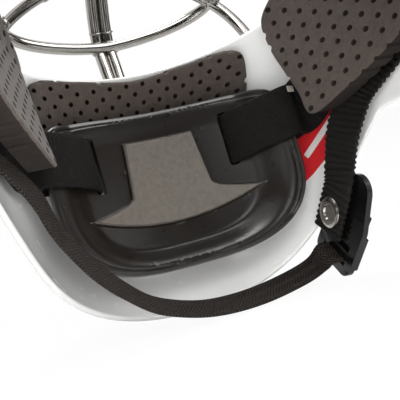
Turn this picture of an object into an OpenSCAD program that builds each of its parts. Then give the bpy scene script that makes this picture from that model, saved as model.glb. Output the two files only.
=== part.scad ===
// Hockey goalie mask: a moulded shell with a welded wire cage, foam lining,
// a soft chin cup on elastics, a chin strap with a snap, and a back plate on a
// five-strap elastic harness. Millimetres. Shapes are worked out in the
// wearer's own frame (x to the wearer's left, y towards the back of the head,
// z up, zero at the lower edge of the chin), and stand() then leans the mask
// back until the chin edge and the back plate both rest on the ground.

/* [Shell] */
// Half of the shell's width at the ears
shell_half_w = 116; // [108:1:124]
// Thickness of the moulded shell
shell_wall = 3.6; // [2.8:0.1:4.6]
// Height of the middle of the head above the chin edge
head_z = 150; // [144:1:156]
// Distance of the middle of the head behind the ears' line
head_y = 10; // [0:1:20]
// Reach from the middle of the head to the chin edge
chin_edge_r = 166; // [160:1:170]
// Reach to the lowest bulge of the chin
chin_r = 178; // [172:1:182]
// Reach to the shell just under the face opening
mouth_r = 159; // [155:1:163]
// Reach straight ahead of the eyes
eye_r = 147; // [143:1:151]
// Reach to the brow
brow_r = 132; // [128:1:136]
// Reach to the crown
crown_r = 152; // [147:1:157]
// Reach to the back of the head
nape_r = 147; // [143:1:151]
// Width of the jaw beside the width at the temples
jaw_taper = 0.785; // [0.75:0.005:0.82]
// Cone angle of the chin and jaw edge, from straight ahead
jaw_cone = 63; // [61:0.5:65]
// Cone angle of the shell's rear edge, from straight ahead
back_cone = 111; // [106:0.5:114]

/* [Face opening] */
// Half of the opening's width, as an angle from straight ahead
window_side = 41.5; // [40:0.5:43]
// Upper edge of the opening, as an angle above straight ahead
window_top = 35; // [33:0.5:37]
// Lower edge of the opening, as an angle below straight ahead
window_bottom = 18.3; // [17:0.1:19.5]

/* [Cage] */
// Diameter of the cage wire
wire_d = 6; // [5:0.1:6.5]
// How far the middle rods stand in front of the middle of the head
cage_reach = 182; // [178:1:188]
// Height of the lowest cross bar above the chin edge
u_bar_z = 110.6; // [107:0.1:114]
// Height of the arched bar at the nose
arch_z = 149; // [146:1:152]
// Height of the brow bar in the middle
brow_bar_z = 214; // [209:1:218]
// Gap between the perimeter wire and the shell
wire_gap = 0.4; // [0.3:0.1:0.8]

/* [Lining] */
// Thickness of the perforated foam pads
foam_t = 12; // [9:0.5:13]
// Thickness of the thin foam behind the chin front
chin_foam_t = 8; // [6:0.5:9]
// Gap between the lining and the shell
foam_gap = 0.8; // [0.6:0.1:0.9]
// Half of the clear width between the cheek pads at the jaw
cheek_half_w = 62; // [60:0.5:64]

/* [Chin cup] */
// Half of the cup's width
cup_half_w = 57; // [54:0.5:59]
// Height of the cup above its middle
cup_up = 38; // [36:0.5:40]
// Height of the cup below its middle
cup_down = 40; // [38:0.5:41]
// Depth of the cup from its rim to its floor
cup_depth = 12; // [9:0.5:14]
// Wall of the moulded foam
cup_wall = 5; // [4:0.5:6]
// Height of the raised relief on the floor
relief_h = 2.8; // [1:0.1:3]
// Lean of the cup, from upright
cup_lean = 32.5; // [30:0.5:35]
// Width of the cup's elastics
cup_elastic_w = 25; // [20:1:28]

/* [Chin strap] */
// Width of the chin webbing
chin_web_w = 15; // [12:0.5:16]
// Width of the snap strap's webbing
snap_web_w = 20; // [17:0.5:22]
// Thickness of the webbing and elastics
web_t = 1.6; // [1.2:0.1:2]

/* [Back plate] */
// Half of the back plate's width
plate_half_w = 62; // [56:1:66]
// Lower edge of the back plate above the chin edge
plate_low_z = 62; // [56:1:72]
// Upper edge of the back plate above the chin edge
plate_top_z = 222; // [212:1:230]
// Distance of the back plate behind the ears' line
plate_y = 122; // [118:1:128]
// Thickness of the back plate
plate_t = 3; // [2.4:0.1:4]
// Width of the harness elastic
harness_w = 22; // [18:1:25]

/* [Hidden] */
$fn = 32;

// Gap between pieces that only touch, and between flat straps and curved faces
touch = 0.3;
strap_gap = 1.1;
wire_r = wire_d / 2;
// Where the jaw starts to widen and where it reaches full width
jaw_z = 40;
temple_z = 170;
// Squareness of the cross-sections: superellipse exponents round the head
mid_square = 2.65;
square_swing = 0.35;
head = [0, head_y, head_z];
// The shell's middle line, as [angle above straight ahead, reach]
mid_line = [[-64, chin_edge_r], [-52, chin_r], [-40, chin_r + 0.5], [-18, mouth_r],
    [0, eye_r], [20, brow_r + 3], [36, brow_r], [60, crown_r - 10], [90, crown_r],
    [112, crown_r - 2], [150, nape_r], [190, nape_r - 1], [240, nape_r + 3],
    [296, chin_edge_r]];
mid_count = len(mid_line) - 1;

// General helpers
function unit(v) = v / norm(v);
function mix(a, b, t) = a + (b - a) * t;
function clamp(t) = min(1, max(0, t));
function smooth(t) = let (c = clamp(t)) c * c * (3 - 2 * c);
function spow(v, e) = sign(v) * pow(abs(v), e);
function mirror_x(p) = [-p.x, p.y, p.z];
function reversed(list) = [for (i = [len(list) - 1:-1:0]) list[i]];

// Catmull-Rom curve through hand-chosen points, with k steps between two
function spline_point(a, b, c, d, t) =
    0.5 * (2 * b + (c - a) * t + (2 * a - 5 * b + 4 * c - d) * t * t
    + (3 * b - a - 3 * c + d) * t * t * t);
function spline(p, k) = let (n = len(p)) concat(
    [for (i = [0:n - 2], j = [0:k - 1])
        spline_point(p[max(0, i - 1)], p[i], p[i + 1], p[min(n - 1, i + 2)], j / k)],
    [p[n - 1]]);
function loop_spline(p, k) = let (n = len(p))
    [for (i = [0:n - 1], j = [0:k - 1])
        spline_point(p[(i + n - 1) % n], p[i], p[(i + 1) % n], p[(i + 2) % n], j / k)];

// The shell's surface. Reach of the middle line at an angle, by cubic steps
function line_r(i) = mid_line[(i + mid_count) % mid_count][1];
function line_a(i) = mid_line[(i + mid_count) % mid_count][0]
    + 360 * floor(i / mid_count);
function line_slope(i) = (line_r(i + 1) - line_r(i - 1)) / (line_a(i + 1) - line_a(i - 1));
function line_step(a, i = 0) = a <= mid_line[i + 1][0] ? i : line_step(a, i + 1);
function mid_radius(a) = let (
        b = a < mid_line[0][0] ? a + 360 : a,
        i = line_step(b),
        h = line_a(i + 1) - line_a(i),
        t = (b - line_a(i)) / h)
    line_r(i) * (2 * t * t * t - 3 * t * t + 1) + line_slope(i) * h * (t * t * t - 2 * t * t + t)
    + line_r(i + 1) * (3 * t * t - 2 * t * t * t) + line_slope(i + 1) * h * (t * t * t - t * t);
function squareness(a) = mid_square - square_swing * sin(a);
function taper(z) = mix(jaw_taper, 1, smooth((z - jaw_z) / (temple_z - jaw_z)));
// A point of the surface in a direction from the middle of the head
function on_shell(dir, inset = 0) = let (
        d = unit(dir),
        a = atan2(d.z, -d.y),
        n = squareness(a),
        r = pow(pow(abs(d.x) / (shell_half_w - inset), n)
            + pow(norm([d.y, d.z]) / (mid_radius(a) - inset), n), -1 / n),
        p = head + r * d)
    [p.x * taper(p.z), p.y, p.z];
// A point by its side offset and its angle round the ears' axis
function front_point(x, a, inset = 0) = let (
        n = squareness(a),
        q = clamp(abs(x) / (shell_half_w - inset)),
        r = (mid_radius(a) - inset) * pow(1 - pow(q, n), 1 / n),
        z = head_z + r * sin(a))
    [x * taper(z), head_y - r * cos(a), z];
// How far the shell is from the middle plane at a place seen from the side
function side_x(y, z, inset = 0) = let (
        a = atan2(z - head_z, head_y - y),
        n = squareness(a),
        q = clamp(norm([y - head_y, z - head_z]) / (mid_radius(a) - inset)))
    (shell_half_w - inset) * pow(1 - pow(q, n), 1 / n) * taper(z);
function cone_dir(a, round) = [sin(a) * cos(round), -cos(a), sin(a) * sin(round)];
function shell_normal(dir) = let (
        d = unit(dir),
        s = unit(cross(d, [0.3, 0.2, 0.93])),
        t = cross(s, d),
        e = 0.01,
        n = unit(cross(on_shell(d + e * s) - on_shell(d - e * s),
            on_shell(d + e * t) - on_shell(d - e * t))))
    n * d > 0 ? n : -n;

// A place on a side wall: the outer face, its normal, and a direction in the wall
function wall_normal(side, y, z) = shell_normal([side * side_x(y, z) / taper(z), y - head_y,
    z - head_z]);
function wall_point(side, y, z, depth = 0) = [side * side_x(y, z), y, z]
    - wall_normal(side, y, z) * depth;
function in_wall(side, y, z, v) = let (n = wall_normal(side, y, z)) unit(v - (v * n) * n);

// Face opening: a superellipse seen from the front, rounder below than above
win_x = tan(window_side);
win_up = (tan(window_top) + tan(window_bottom)) / 2;
win_mid = (tan(window_top) - tan(window_bottom)) / 2;
function window_dir(t, grow = 1) = let (n = sin(t) < 0 ? 2.05 : 2.6)
    [win_x * grow * spow(cos(t), 2 / n), -1, win_mid + win_up * grow * spow(sin(t), 2 / n)];
// Outer edge: the jaw lies on one cone and the rear edge on a wider one
jaw_turn = 26;
jaw_end = -31;
function rim_cone(t) = mix(jaw_cone, back_cone, smooth((asin(sin(t)) - jaw_end) / jaw_turn));
function edge_dir(t, s) = let (
        w = window_dir(t),
        a0 = atan(norm([w.x, w.z])),
        r0 = atan2(w.z, w.x),
        turn = ((t - r0 + 540) % 360) - 180)
    cone_dir(mix(a0, rim_cone(t), s), r0 + turn * s);

// Meshes. A tube closed both ways, a skin over loops and a sheet with sides
module ring_solid(rows) {
    n = len(rows[0]);
    m = len(rows);
    polyhedron(points = [for (r = rows) each r], faces = [
        for (j = [0:m - 1], i = [0:n - 1]) let (
            a = j * n + i,
            b = j * n + (i + 1) % n,
            c = ((j + 1) % m) * n + (i + 1) % n,
            d = ((j + 1) % m) * n + i)
        each [[a, b, c], [a, c, d]]]);
}
module loft(rows, first, last) {
    n = len(rows[0]);
    m = len(rows);
    end = m * n;
    polyhedron(points = [for (r = rows) each r, first, last], faces = concat(
        [for (j = [0:m - 2], i = [0:n - 1]) let (
            a = j * n + i,
            b = j * n + (i + 1) % n,
            c = (j + 1) * n + (i + 1) % n,
            d = (j + 1) * n + i)
        each [[a, b, c], [a, c, d]]],
        [for (i = [0:n - 1]) [end, (i + 1) % n, i]],
        [for (i = [0:n - 1]) [end + 1, (m - 1) * n + i, (m - 1) * n + (i + 1) % n]]));
}
module sheet(top, under) {
    m = len(top);
    n = len(top[0]);
    k = m * n;
    around = concat([for (j = [0:n - 2]) j], [for (i = [0:m - 2]) i * n + n - 1],
        [for (j = [n - 1:-1:1]) (m - 1) * n + j], [for (i = [m - 1:-1:1]) i * n]);
    polyhedron(points = concat([for (r = top) each r], [for (r = under) each r]),
        faces = concat(
        [for (i = [0:m - 2], j = [0:n - 2]) let (a = i * n + j)
            each [[a, a + 1, a + n + 1], [a, a + n + 1, a + n]]],
        [for (i = [0:m - 2], j = [0:n - 2]) let (a = k + i * n + j)
            each [[a, a + n + 1, a + 1], [a, a + n, a + n + 1]]],
        [for (i = [0:len(around) - 1]) let (a = around[i], b = around[(i + 1) % len(around)])
            each [[a, k + a, k + b], [a, k + b, b]]]));
}
// A round wire along a path, its sides counted from the direction off the head
wire_sides = 8;
function wire_loop(p, t, r) = let (
        a = unit(cross(t, p - head)),
        b = cross(a, t))
    [for (i = [0:wire_sides - 1]) let (g = i * 360 / wire_sides)
        p + r * (cos(g) * a + sin(g) * b)];
module wire(path, r) {
    n = len(path);
    loft([for (i = [0:n - 1])
        wire_loop(path[i], unit(path[min(n - 1, i + 1)] - path[max(0, i - 1)]), r)],
        path[0], path[n - 1]);
}
module wire_ring(path, r) {
    n = len(path);
    ring_solid([for (i = [0:n - 1])
        wire_loop(path[i], unit(path[(i + 1) % n] - path[(i + n - 1) % n]), r)]);
}
// A flat strap along a path; across gives its width direction at each point
module strap(path, across, w, t) {
    n = len(path);
    side = [for (i = [0:n - 1]) let (
            f = unit(path[min(n - 1, i + 1)] - path[max(0, i - 1)]),
            a = across[i] - (across[i] * f) * f)
        [unit(a), cross(f, unit(a))]];
    sheet([for (i = [0:n - 1]) [path[i] - side[i][0] * w / 2 + side[i][1] * t / 2,
            path[i] + side[i][0] * w / 2 + side[i][1] * t / 2]],
        [for (i = [0:n - 1]) [path[i] - side[i][0] * w / 2 - side[i][1] * t / 2,
            path[i] + side[i][0] * w / 2 - side[i][1] * t / 2]]);
}
// Webbing through hand-chosen points, each with its width direction
module webbing(points, across, w, steps) strap(spline(points, steps), spline(across, steps), w,
    web_t);
// Puts children at a point with their z along one direction and x near another
module at(p, z, x) {
    k = unit(z);
    i = unit(x - (x * k) * k);
    j = cross(k, i);
    multmatrix([[i.x, j.x, k.x, p.x], [i.y, j.y, k.y, p.y], [i.z, j.z, k.z, p.z], [0, 0, 0, 1]])
        children();
}
// A cushion over an outline: place(point, height) puts it in the mask, and the
// face is crowned between its edges
module cushion(outline, middle, t, place) {
    steps = [[0.3, 0], [0.65, 0], [1, 0], [1.02, t * 0.45], [0.97, t * 0.93], [0.86, t],
        [0.58, t], [0.28, t]];
    loft([for (s = steps) [for (p = outline) place(middle + (p - middle) * s[0], s[1])]],
        place(middle, 0), place(middle, t));
}

// Standing pose: the lowest point of the back plate and the chin edge touch the
// ground, and the middle of the model's box is over the origin
chin_edge = on_shell(cone_dir(jaw_cone, -90));
plate_curve_r = 85;
plate_bow_r = 190;
plate_bow_z = 160;
function plate_point(x, z, out) = [x, plate_y + out
    - (plate_curve_r - sqrt(plate_curve_r * plate_curve_r - x * x))
    - (plate_bow_r - sqrt(plate_bow_r * plate_bow_r - (z - plate_bow_z) * (z - plate_bow_z))), z];
plate_foot = plate_point(0, plate_low_z, plate_t);
lean_back = atan((plate_foot.z - chin_edge.z) / (plate_foot.y - chin_edge.y));
stand_y = 93.95;
foot_cut = 0.4;
module stand() translate([0, -stand_y, -foot_cut]) rotate([-lean_back, 0, 0])
    translate([0, -chin_edge.y, -chin_edge.z]) children();
// The two feet are flat where they stand
ground_half = 200;
ground_deep = 20;
module on_ground() difference() {
    children();
    translate([-ground_half, -ground_half, -ground_deep])
        cube([2 * ground_half, 2 * ground_half, ground_deep]);
}

// Shell
around_count = 72;
across_count = 10;
module shell_body() ring_solid(concat(
    [for (j = [0:across_count]) [for (i = [0:around_count - 1])
        on_shell(edge_dir(i * 360 / around_count, j / across_count))]],
    [for (j = [across_count:-1:0]) [for (i = [0:around_count - 1])
        on_shell(edge_dir(i * 360 / around_count, j / across_count), shell_wall)]]));
// A twelve-sided hole that clears a round shank
hole_sides = 12;
module shell_hole(r) translate([0, 0, -20]) linear_extrude(30) polygon([
    for (i = [1:hole_sides]) r / cos(180 / hole_sides)
        * [cos(i * 360 / hole_sides), sin(i * 360 / hole_sides)]]);
module shell() color("white") on_ground() stand() difference() {
    shell_body();
    for (t = clip_rounds) at_screw(t) shell_hole(screw_r + screw_gap);
    for (side = [0, 1]) mirror([side, 0, 0]) at_anchor() shell_hole(rivet_r + touch / 2);
    at_snap_anchor() shell_hole(rivet_r + touch / 2);
    at_chin_anchor() shell_hole(rivet_r + touch / 2);
    for (k = [0:4]) at_shell_end(k) shell_hole(rivet_r + touch / 2);
}

// Cage. The perimeter wire follows the opening on the outside of the shell
perimeter_grow = 1.07;
function perimeter_point(t) = on_shell(window_dir(t, perimeter_grow), -wire_r - wire_gap);
perimeter_count = 60;
rod_x = wire_r + 0.05;
rod_gap = 1.4;
rod_y = head_y - cage_reach;
// A cross bar from its middle to a point on the perimeter, s from 0 to 1
function bar_point(end, mid_y, mid_z, flat, drop, s) = [end.x * sin(90 * s),
    mix(end.y, mid_y, pow(cos(90 * s), flat)), mix(mid_z, end.z, pow(s, drop))];
function full_bar(half) = concat(reversed([for (p = half) mirror_x(p)]),
    [for (i = [1:len(half) - 1]) half[i]]);
bar_steps = 9;
arch_end = -56;
arch_flat = 0.68;
arch_drop = 1.35;
inner_y = rod_y + wire_d;
function arch_point(s) = bar_point(perimeter_point(arch_end), inner_y, arch_z,
    arch_flat, arch_drop, s);
// Where the U bar meets the arch, as a share of the arch's half length
u_meet = 0.6;
u_flat = 0.7;
u_drop = 1.6;
function u_point(s) = let (e = arch_point(u_meet) + [0, wire_d - 0.4, 0])
    bar_point([e.x * 1.04, e.y, e.z + 2], inner_y, u_bar_z, u_flat, u_drop, s);
brow_end = 24;
brow_back = 22;
brow_cross = 38;
rod_stand = 9;
function brow_point(s) = bar_point(perimeter_point(brow_end), inner_y + brow_back, brow_bar_z,
    0.8, 2, s);
cheek_end = -2;
cheek_meet = 0.3;
upper_bar_x = 27;
upper_end = 75;
// The middle rods leave the chin, stand off at the mouth and return to the brow
function rod_path(x) = spline([
    front_point(x, -29, -wire_r - rod_gap),
    front_point(x, -24, -wire_r - rod_gap),
    [x, rod_y + 12, u_bar_z - 11],
    [x, rod_y + 2, u_bar_z + 3],
    [x, rod_y - 1, u_bar_z + 24],
    [x, rod_y, arch_z + 16],
    [x, rod_y + 14, brow_bar_z - 17],
    front_point(x, brow_cross, -wire_r - rod_stand),
    front_point(x, 44, -wire_r - rod_gap),
    front_point(x, 50, -wire_r - rod_gap)], 3);
steel = "silver";
module cage_perimeter_wire() color(steel) stand() wire_ring(
    [for (i = [0:perimeter_count - 1]) perimeter_point(i * 360 / perimeter_count)], wire_r);
module cage_centre_rods() color(steel) stand() for (x = [-rod_x, rod_x])
    wire(rod_path(x), wire_r);
module cage_u_bar() color(steel) stand() wire(
    full_bar([for (i = [0:bar_steps]) u_point(i / bar_steps)]), wire_r);
module cage_arch_bar() color(steel) stand() wire(
    full_bar([for (i = [0:bar_steps]) arch_point(i / bar_steps)]), wire_r);
module cage_brow_bar() color(steel) stand() wire(
    full_bar([for (i = [0:bar_steps]) brow_point(i / bar_steps)]), wire_r);
module cage_cheek_bars() color(steel) stand() for (side = [-1, 1])
    let (a = arch_point(cheek_meet), b = perimeter_point(cheek_end), m = (a + b) / 2)
    wire([for (p = spline([a, m + [6, -9, 0], b], 4)) [side * p.x, p.y, p.z]], wire_r);
module cage_upper_bars() color(steel) stand() for (side = [-1, 1])
    let (a = brow_point(upper_bar_x / 90), b = perimeter_point(upper_end), m = (a + b) / 2)
    wire([for (p = spline([a, m + [0, -5, 4], b], 3)) [side * p.x, p.y, p.z]], wire_r);

// Clips: a tab on the shell, a hook over the perimeter wire and a screw. In a
// clip's frame the wire's centre is at zero, x runs to the screw and z outwards
clip_rounds = [-45, 11, 169, 225];
clip_spread = 1.13;
clip_w = 14;
clip_t = 1.5;
clip_reach = 15;
clip_end = 7;
screw_r = 2.2;
screw_head_r = 4.6;
screw_head_h = 2.4;
screw_dome_r = 6.2;
nut_r = 6;
nut_t = 1.4;
nut_gap = 1.8;
screw_gap = 0.15;
hook_r = wire_r + touch;
function wire_dir(t) = unit(perimeter_point(t + 1) - perimeter_point(t - 1));
function clip_out(t) = let (w = wire_dir(t), n = shell_normal(window_dir(t, clip_spread)))
    unit(n - (n * w) * w);
function clip_side(t) = let (c = cross(wire_dir(t), clip_out(t)))
    c * (on_shell(window_dir(t, clip_spread)) - perimeter_point(t)) > 0 ? c : -c;
// Height of the tab's underside
function clip_base(t) = (on_shell(window_dir(t, clip_spread)) - perimeter_point(t)) * clip_out(t)
    + touch;
module at_clip(t) at(perimeter_point(t), clip_out(t), clip_side(t)) children();
module at_screw(t) at_clip(t) translate([clip_reach, 0, clip_base(t)]) children();
module clip(t) difference() {
    union() {
        translate([hook_r, -clip_w / 2, clip_base(t)])
            cube([clip_reach + clip_end - hook_r, clip_w, clip_t]);
        rotate([90, 0, 0]) translate([0, 0, -clip_w / 2]) linear_extrude(clip_w) difference() {
            union() {
                circle(r = hook_r + clip_t);
                translate([0, clip_base(t)]) square([hook_r + clip_t, -clip_base(t)]);
            }
            circle(r = hook_r);
            translate([-2 * hook_r, clip_base(t) - 2 * hook_r]) square([4 * hook_r, 2 * hook_r]);
            translate([-2 * hook_r, clip_base(t) - 1]) square([2 * hook_r, 1 - clip_base(t) - 0.6]);
            translate([-hook_r, -2 * hook_r]) square([2 * hook_r, 2 * hook_r]);
        }
    }
    translate([clip_reach, 0, clip_base(t) - 1]) cylinder(r = screw_r + screw_gap, h = 6);
}
module cage_clips() color("gainsboro") stand() for (t = clip_rounds) at_clip(t) clip(t);
module clip_screws() color("silver") stand() for (t = clip_rounds) at_screw(t) {
    translate([0, 0, touch + clip_t]) intersection() {
        cylinder(r = screw_head_r, h = screw_head_h);
        translate([0, 0, screw_head_h - screw_dome_r]) sphere(r = screw_dome_r);
    }
    translate([0, 0, -shell_wall - 3]) cylinder(r = screw_r, h = shell_wall + 5 + clip_t);
}
module at_nut(t) at_screw(t) translate([0, 0, -shell_wall - touch - nut_gap - nut_t]) children();
module clip_t_nuts() color("darkgray") stand() for (t = clip_rounds) at_nut(t) difference() {
    cylinder(r = nut_r, h = nut_t);
    translate([0, 0, -1]) cylinder(r = screw_r + screw_gap, h = nut_t + 2);
}

// Foam lining
foam = "dimgray";
inner = shell_wall + foam_gap;
function mirrored(half) = concat(half, [for (i = [len(half) - 2:-1:1])
    [-half[i].x, half[i].y]]);
module chin_front_pad() color(foam) stand() cushion(
    loop_spline(mirrored([[0, -34], [40, -33], [63, -29], [64, -21], [57, -17], [34, -18],
        [0, -19.5]]), 3),
    [0, -27], chin_foam_t, function(p, h) front_point(p.x, p.y, inner + h));
module forehead_pad() color(foam) stand() cushion(
    loop_spline(mirrored([[0, 39], [30, 38.5], [58, 39], [64, 45], [58, 58], [28, 64],
        [0, 65]]), 3),
    [0, 52], foam_t, function(p, h) front_point(p.x, p.y, inner + h));
band_t = 4;
band_gap = 0.7;
module sweatband() color("black") stand() cushion(
    loop_spline(mirrored([[0, 41], [26, 40.5], [50, 41], [55, 45], [50, 49], [26, 50],
        [0, 50.5]]), 3),
    [0, 45.5], band_t, function(p, h) front_point(p.x, p.y, inner + foam_t + band_gap + h));
module crown_pad() color(foam) stand() cushion(
    loop_spline(mirrored([[0, 68], [30, 68.5], [48, 74], [50, 82], [40, 89], [0, 92]]), 3),
    [0, 80], foam_t, function(p, h) front_point(p.x, p.y, inner + h));
module temple_pads() color(foam) stand() for (side = [0, 1]) mirror([side, 0, 0]) cushion(
    loop_spline([[-52, 200], [-30, 197], [0, 198], [22, 206], [20, 222], [0, 234], [-28, 236],
        [-50, 222]], 3),
    [-14, 216], foam_t, function(p, h) [side_x(p.x, p.y, inner + h), p.x, p.y]);
// Cheek pads: foam leaning outwards from the jaw tip until it meets the wall
cheek_outline = [[-66, 88], [-77, 96], [-89, 104], [-101, 113], [-109, 124], [-106, 138],
    [-95, 162], [-76, 182], [-50, 190], [-26, 184], [-16, 166], [-22, 148], [-33, 132],
    [-43, 116], [-54, 101]];
cheek_tip = [-66, 88];
cheek_lean = [0.3, 0.4];
// Foam clear of the wall, and how softly the pad turns along it
cheek_gap = 2.5;
cheek_bend = 5;
function soft_min(a, b, s) = (a + b - sqrt((a - b) * (a - b) + s * s)) / 2;
function cheek_face(p) = soft_min(cheek_half_w + (p - cheek_tip) * cheek_lean,
    side_x(p.x, p.y, inner) - foam_t - cheek_gap, cheek_bend);
// The cheek foam has a pocket for the lower nut
module cheek_pad() difference() {
    cushion(loop_spline(cheek_outline, 2), [-62, 145], foam_t,
        function(p, h) [h - foam_t - cheek_face(p), p.x, p.y]);
    at_nut(clip_rounds[3]) translate([0, 0, -2]) cylinder(r = nut_r + 1, h = 9);
}
module cheek_pad_left() color(foam) stand() mirror([1, 0, 0]) cheek_pad();
module cheek_pad_right() color(foam) stand() cheek_pad();
backing_outline = [[-90, 155], [-76, 145], [-56, 142], [-40, 150], [-34, 166], [-50, 178],
    [-76, 172]];
module cheek_backing() cushion(loop_spline(backing_outline, 3), [-60, 160], 1,
    function(p, h) let (a = cheek_face(p) + foam_t + touch, b = side_x(p.x, p.y, inner))
        [mix(b, a, clamp(h)), p.x, p.y]);
module cheek_backing_left() color("black") stand() cheek_backing();
module cheek_backing_right() color("black") stand() mirror([1, 0, 0]) cheek_backing();

// Chin cup, in its own frame: x across, y out of the opening, z up the face
cup_y = -84.3;
cup_z = 62;
cup_bend = 0.0029;
floor_bend = 0.0045;
module at_cup() translate([0, cup_y, cup_z]) rotate([cup_lean, 0, 0]) children();
function from_cup(p) = [p.x, cup_y + p.y * cos(cup_lean) - p.z * sin(cup_lean),
    cup_z + p.y * sin(cup_lean) + p.z * cos(cup_lean)];
function cup_floor(u) = -cup_depth + floor_bend * u * u;
function cup_rim(u, v) = mix(cup_bend * u * u, cup_floor(u) + 1.5,
    smooth((v - 12) / 18) * (1 - smooth((abs(u) - 42) / 12)));
function cup_point(t, k, back = 0) = let (
        u = k * cup_half_w * spow(cos(t), 2 / 3.2),
        v = k * (sin(t) > 0 ? cup_up * spow(sin(t), 2 / 5) : cup_down * spow(sin(t), 2 / 2.6)))
    [u, mix(cup_floor(u), cup_rim(u, v), smooth((k - 0.68) / 0.24)) - back, v];
cup_count = 48;
slot_u = 35;
slot_v = 16;
slot_w = 4.8;
function cup_row(k, back) = [for (i = [0:cup_count - 1])
    cup_point(-i * 360 / cup_count, k, back)];
module cup_body() loft(concat(
    [for (k = [0.4, 0.66, 0.74, 0.82, 0.9, 0.95, 1]) cup_row(k, 0)],
    [cup_row(1.015, 1.5), cup_row(1, 4)],
    [for (k = [0.86, 0.78, 0.66, 0.4]) cup_row(k, cup_wall)]),
    cup_point(0, 0), cup_point(0, 0, cup_wall));
// The relief: a trapezoid that flares into a crescent below
relief_top = 25;
relief_top_u = 15.5;
relief_base_u = 20.5;
crescent_u = 44;
crescent_tip = -9;
crescent_low = -16.5;
relief_step = -2;
function relief_upper(u) = let (a = abs(u)) a <= relief_top_u ? relief_top
    : a <= relief_base_u ? mix(relief_top, relief_step,
        (a - relief_top_u) / (relief_base_u - relief_top_u))
    : mix(relief_step, crescent_tip, pow((a - relief_base_u) / (crescent_u - relief_base_u), 0.7));
function relief_lower(u) = mix(crescent_low, crescent_tip - 0.6, pow(abs(u) / crescent_u, 2));
relief_half = concat([for (i = [0:3]) relief_top_u * i / 3],
    [for (i = [1:2]) mix(relief_top_u, relief_base_u, i / 2)],
    [for (i = [1:4]) mix(relief_base_u, crescent_u, i / 4)]);
relief_us = concat([for (i = [len(relief_half) - 1:-1:1]) -relief_half[i]], relief_half);
module relief() sheet(
    [for (u = relief_us) [for (s = [0:0.25:1])
        [u, cup_floor(u) - 1.5, mix(relief_lower(u), relief_upper(u), s)]]],
    [for (u = relief_us) [for (s = [0:0.25:1])
        [u, cup_floor(u) + relief_h, mix(relief_lower(u), relief_upper(u), s)]]]);
module chin_cup() color("dimgray") stand() at_cup() difference() {
    union() {
        cup_body();
        relief();
    }
    for (side = [-1, 1]) translate([side * slot_u - slot_w / 2, -30, slot_v - cup_elastic_w / 2 - 1])
        cube([slot_w, 60, cup_elastic_w + 2]);
}
// Cup elastics: from the wall over the cup's corner, through the slot and back
anchor_y = -79;
anchor_z = 100;
// Points of the run on the wall, each with its lift off the wall
anchor_run = [[anchor_y + 8, anchor_z + 1, 0], [anchor_y, anchor_z, 0],
    [anchor_y - 8, anchor_z - 2, 0]];
cup_up_dir = [0, -sin(cup_lean), cos(cup_lean)];
elastic_out = [[64, 9.5, 20], [57, 12, 19], [49, 8, 18], [41, 1.5, 17],
    [36, -5, slot_v], [slot_u, -9, slot_v], [slot_u + 1, -15, slot_v]];
elastic_back = [[41, -19, 16.5], [50, -15, 17.5], [60, -3, 19], [68, 3, 20]];
elastic_gap = 1.3;
function wall_run(layer) = [for (q = anchor_run) wall_point(1, q.x, q.y, shell_wall + elastic_gap
    + web_t / 2 + layer * (web_t + touch) + q.z)];
wall_width = [for (q = anchor_run) in_wall(1, q.x, q.y, cup_up_dir)];
module cup_elastic() difference() {
    webbing(concat(wall_run(1), [for (q = concat(elastic_out, elastic_back)) from_cup(q)],
        reversed(wall_run(0))),
        concat(wall_width, [for (q = concat(elastic_out, elastic_back)) cup_up_dir],
        reversed(wall_width)), cup_elastic_w, 2);
    at_anchor() translate([0, 0, -20]) cylinder(r = rivet_r + touch, h = 40);
}
rivet_r = 2.4;
rivet_head_r = 5.5;
rivet_head_h = 1.4;
rivet_dome_r = 11.6;
module at_wall(side, y, z) at(wall_point(side, y, z), wall_normal(side, y, z), [0, 0, 1])
    children();
module at_anchor() at_wall(1, anchor_y, anchor_z) children();
module chin_cup_elastic_left() color("black") stand() cup_elastic();
module chin_cup_elastic_right() color("black") stand() mirror([1, 0, 0]) cup_elastic();

// Rivets: a low round head outside, a shank and a washer inside
module rivet(grip) {
    intersection() {
        cylinder(r = rivet_head_r, h = rivet_head_h);
        translate([0, 0, rivet_head_h - rivet_dome_r]) sphere(r = rivet_dome_r);
    }
    translate([0, 0, -grip]) cylinder(r = rivet_r, h = grip + 0.2);
    translate([0, 0, -grip - rivet_head_h]) cylinder(r = rivet_head_r, h = rivet_head_h);
}
anchor_grip = shell_wall + elastic_gap + 2 * web_t + 4 * touch;
module elastic_rivets() color("silver") stand() for (side = [0, 1]) mirror([side, 0, 0])
    at_anchor() translate([0, 0, touch]) rivet(anchor_grip);

// Snap strap: down from the right cheek to the snap
snap = [-66.3, -54, 41.3];
snap_down = unit([2, -1.7, -14.6]);
snap_side = unit([0, 1, 0] - snap_down.y * snap_down);
snap_out = cross(snap_side, snap_down);
snap_run = [[-56, 130], [-57, 121], [-57.5, 112]];
snap_free = [[-84.5, -60, 99], [-79.5, -59.5, 91], [-73.5, -57, 78], [-71, -55, 66],
    snap - 14 * snap_down, snap, snap + 11 * snap_down];
snap_across = [for (i = [0:len(snap_free) - 1]) [mix(-0.3, 0, clamp(i / 4)), 1, 0]];
strap_depth = shell_wall + strap_gap + web_t / 2;
module at_snap() at(snap, snap_out, -snap_down) children();
module at_snap_anchor() at_wall(-1, snap_run[1].x, snap_run[1].y) children();
module snap_strap() color("black") stand() difference() {
    webbing(concat([for (q = snap_run) wall_point(-1, q.x, q.y, strap_depth)], snap_free),
        concat([for (q = snap_run) in_wall(-1, q.x, q.y, [0, 1, 0])],
        snap_across), snap_web_w, 3);
    at_snap() translate([0, 0, -9]) cylinder(r = stud_r + touch, h = 18);
    at_snap_anchor() translate([0, 0, -20]) cylinder(r = rivet_r + touch, h = 40);
}
strap_rivet_grip = shell_wall + strap_gap + web_t + 3 * touch;
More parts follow.
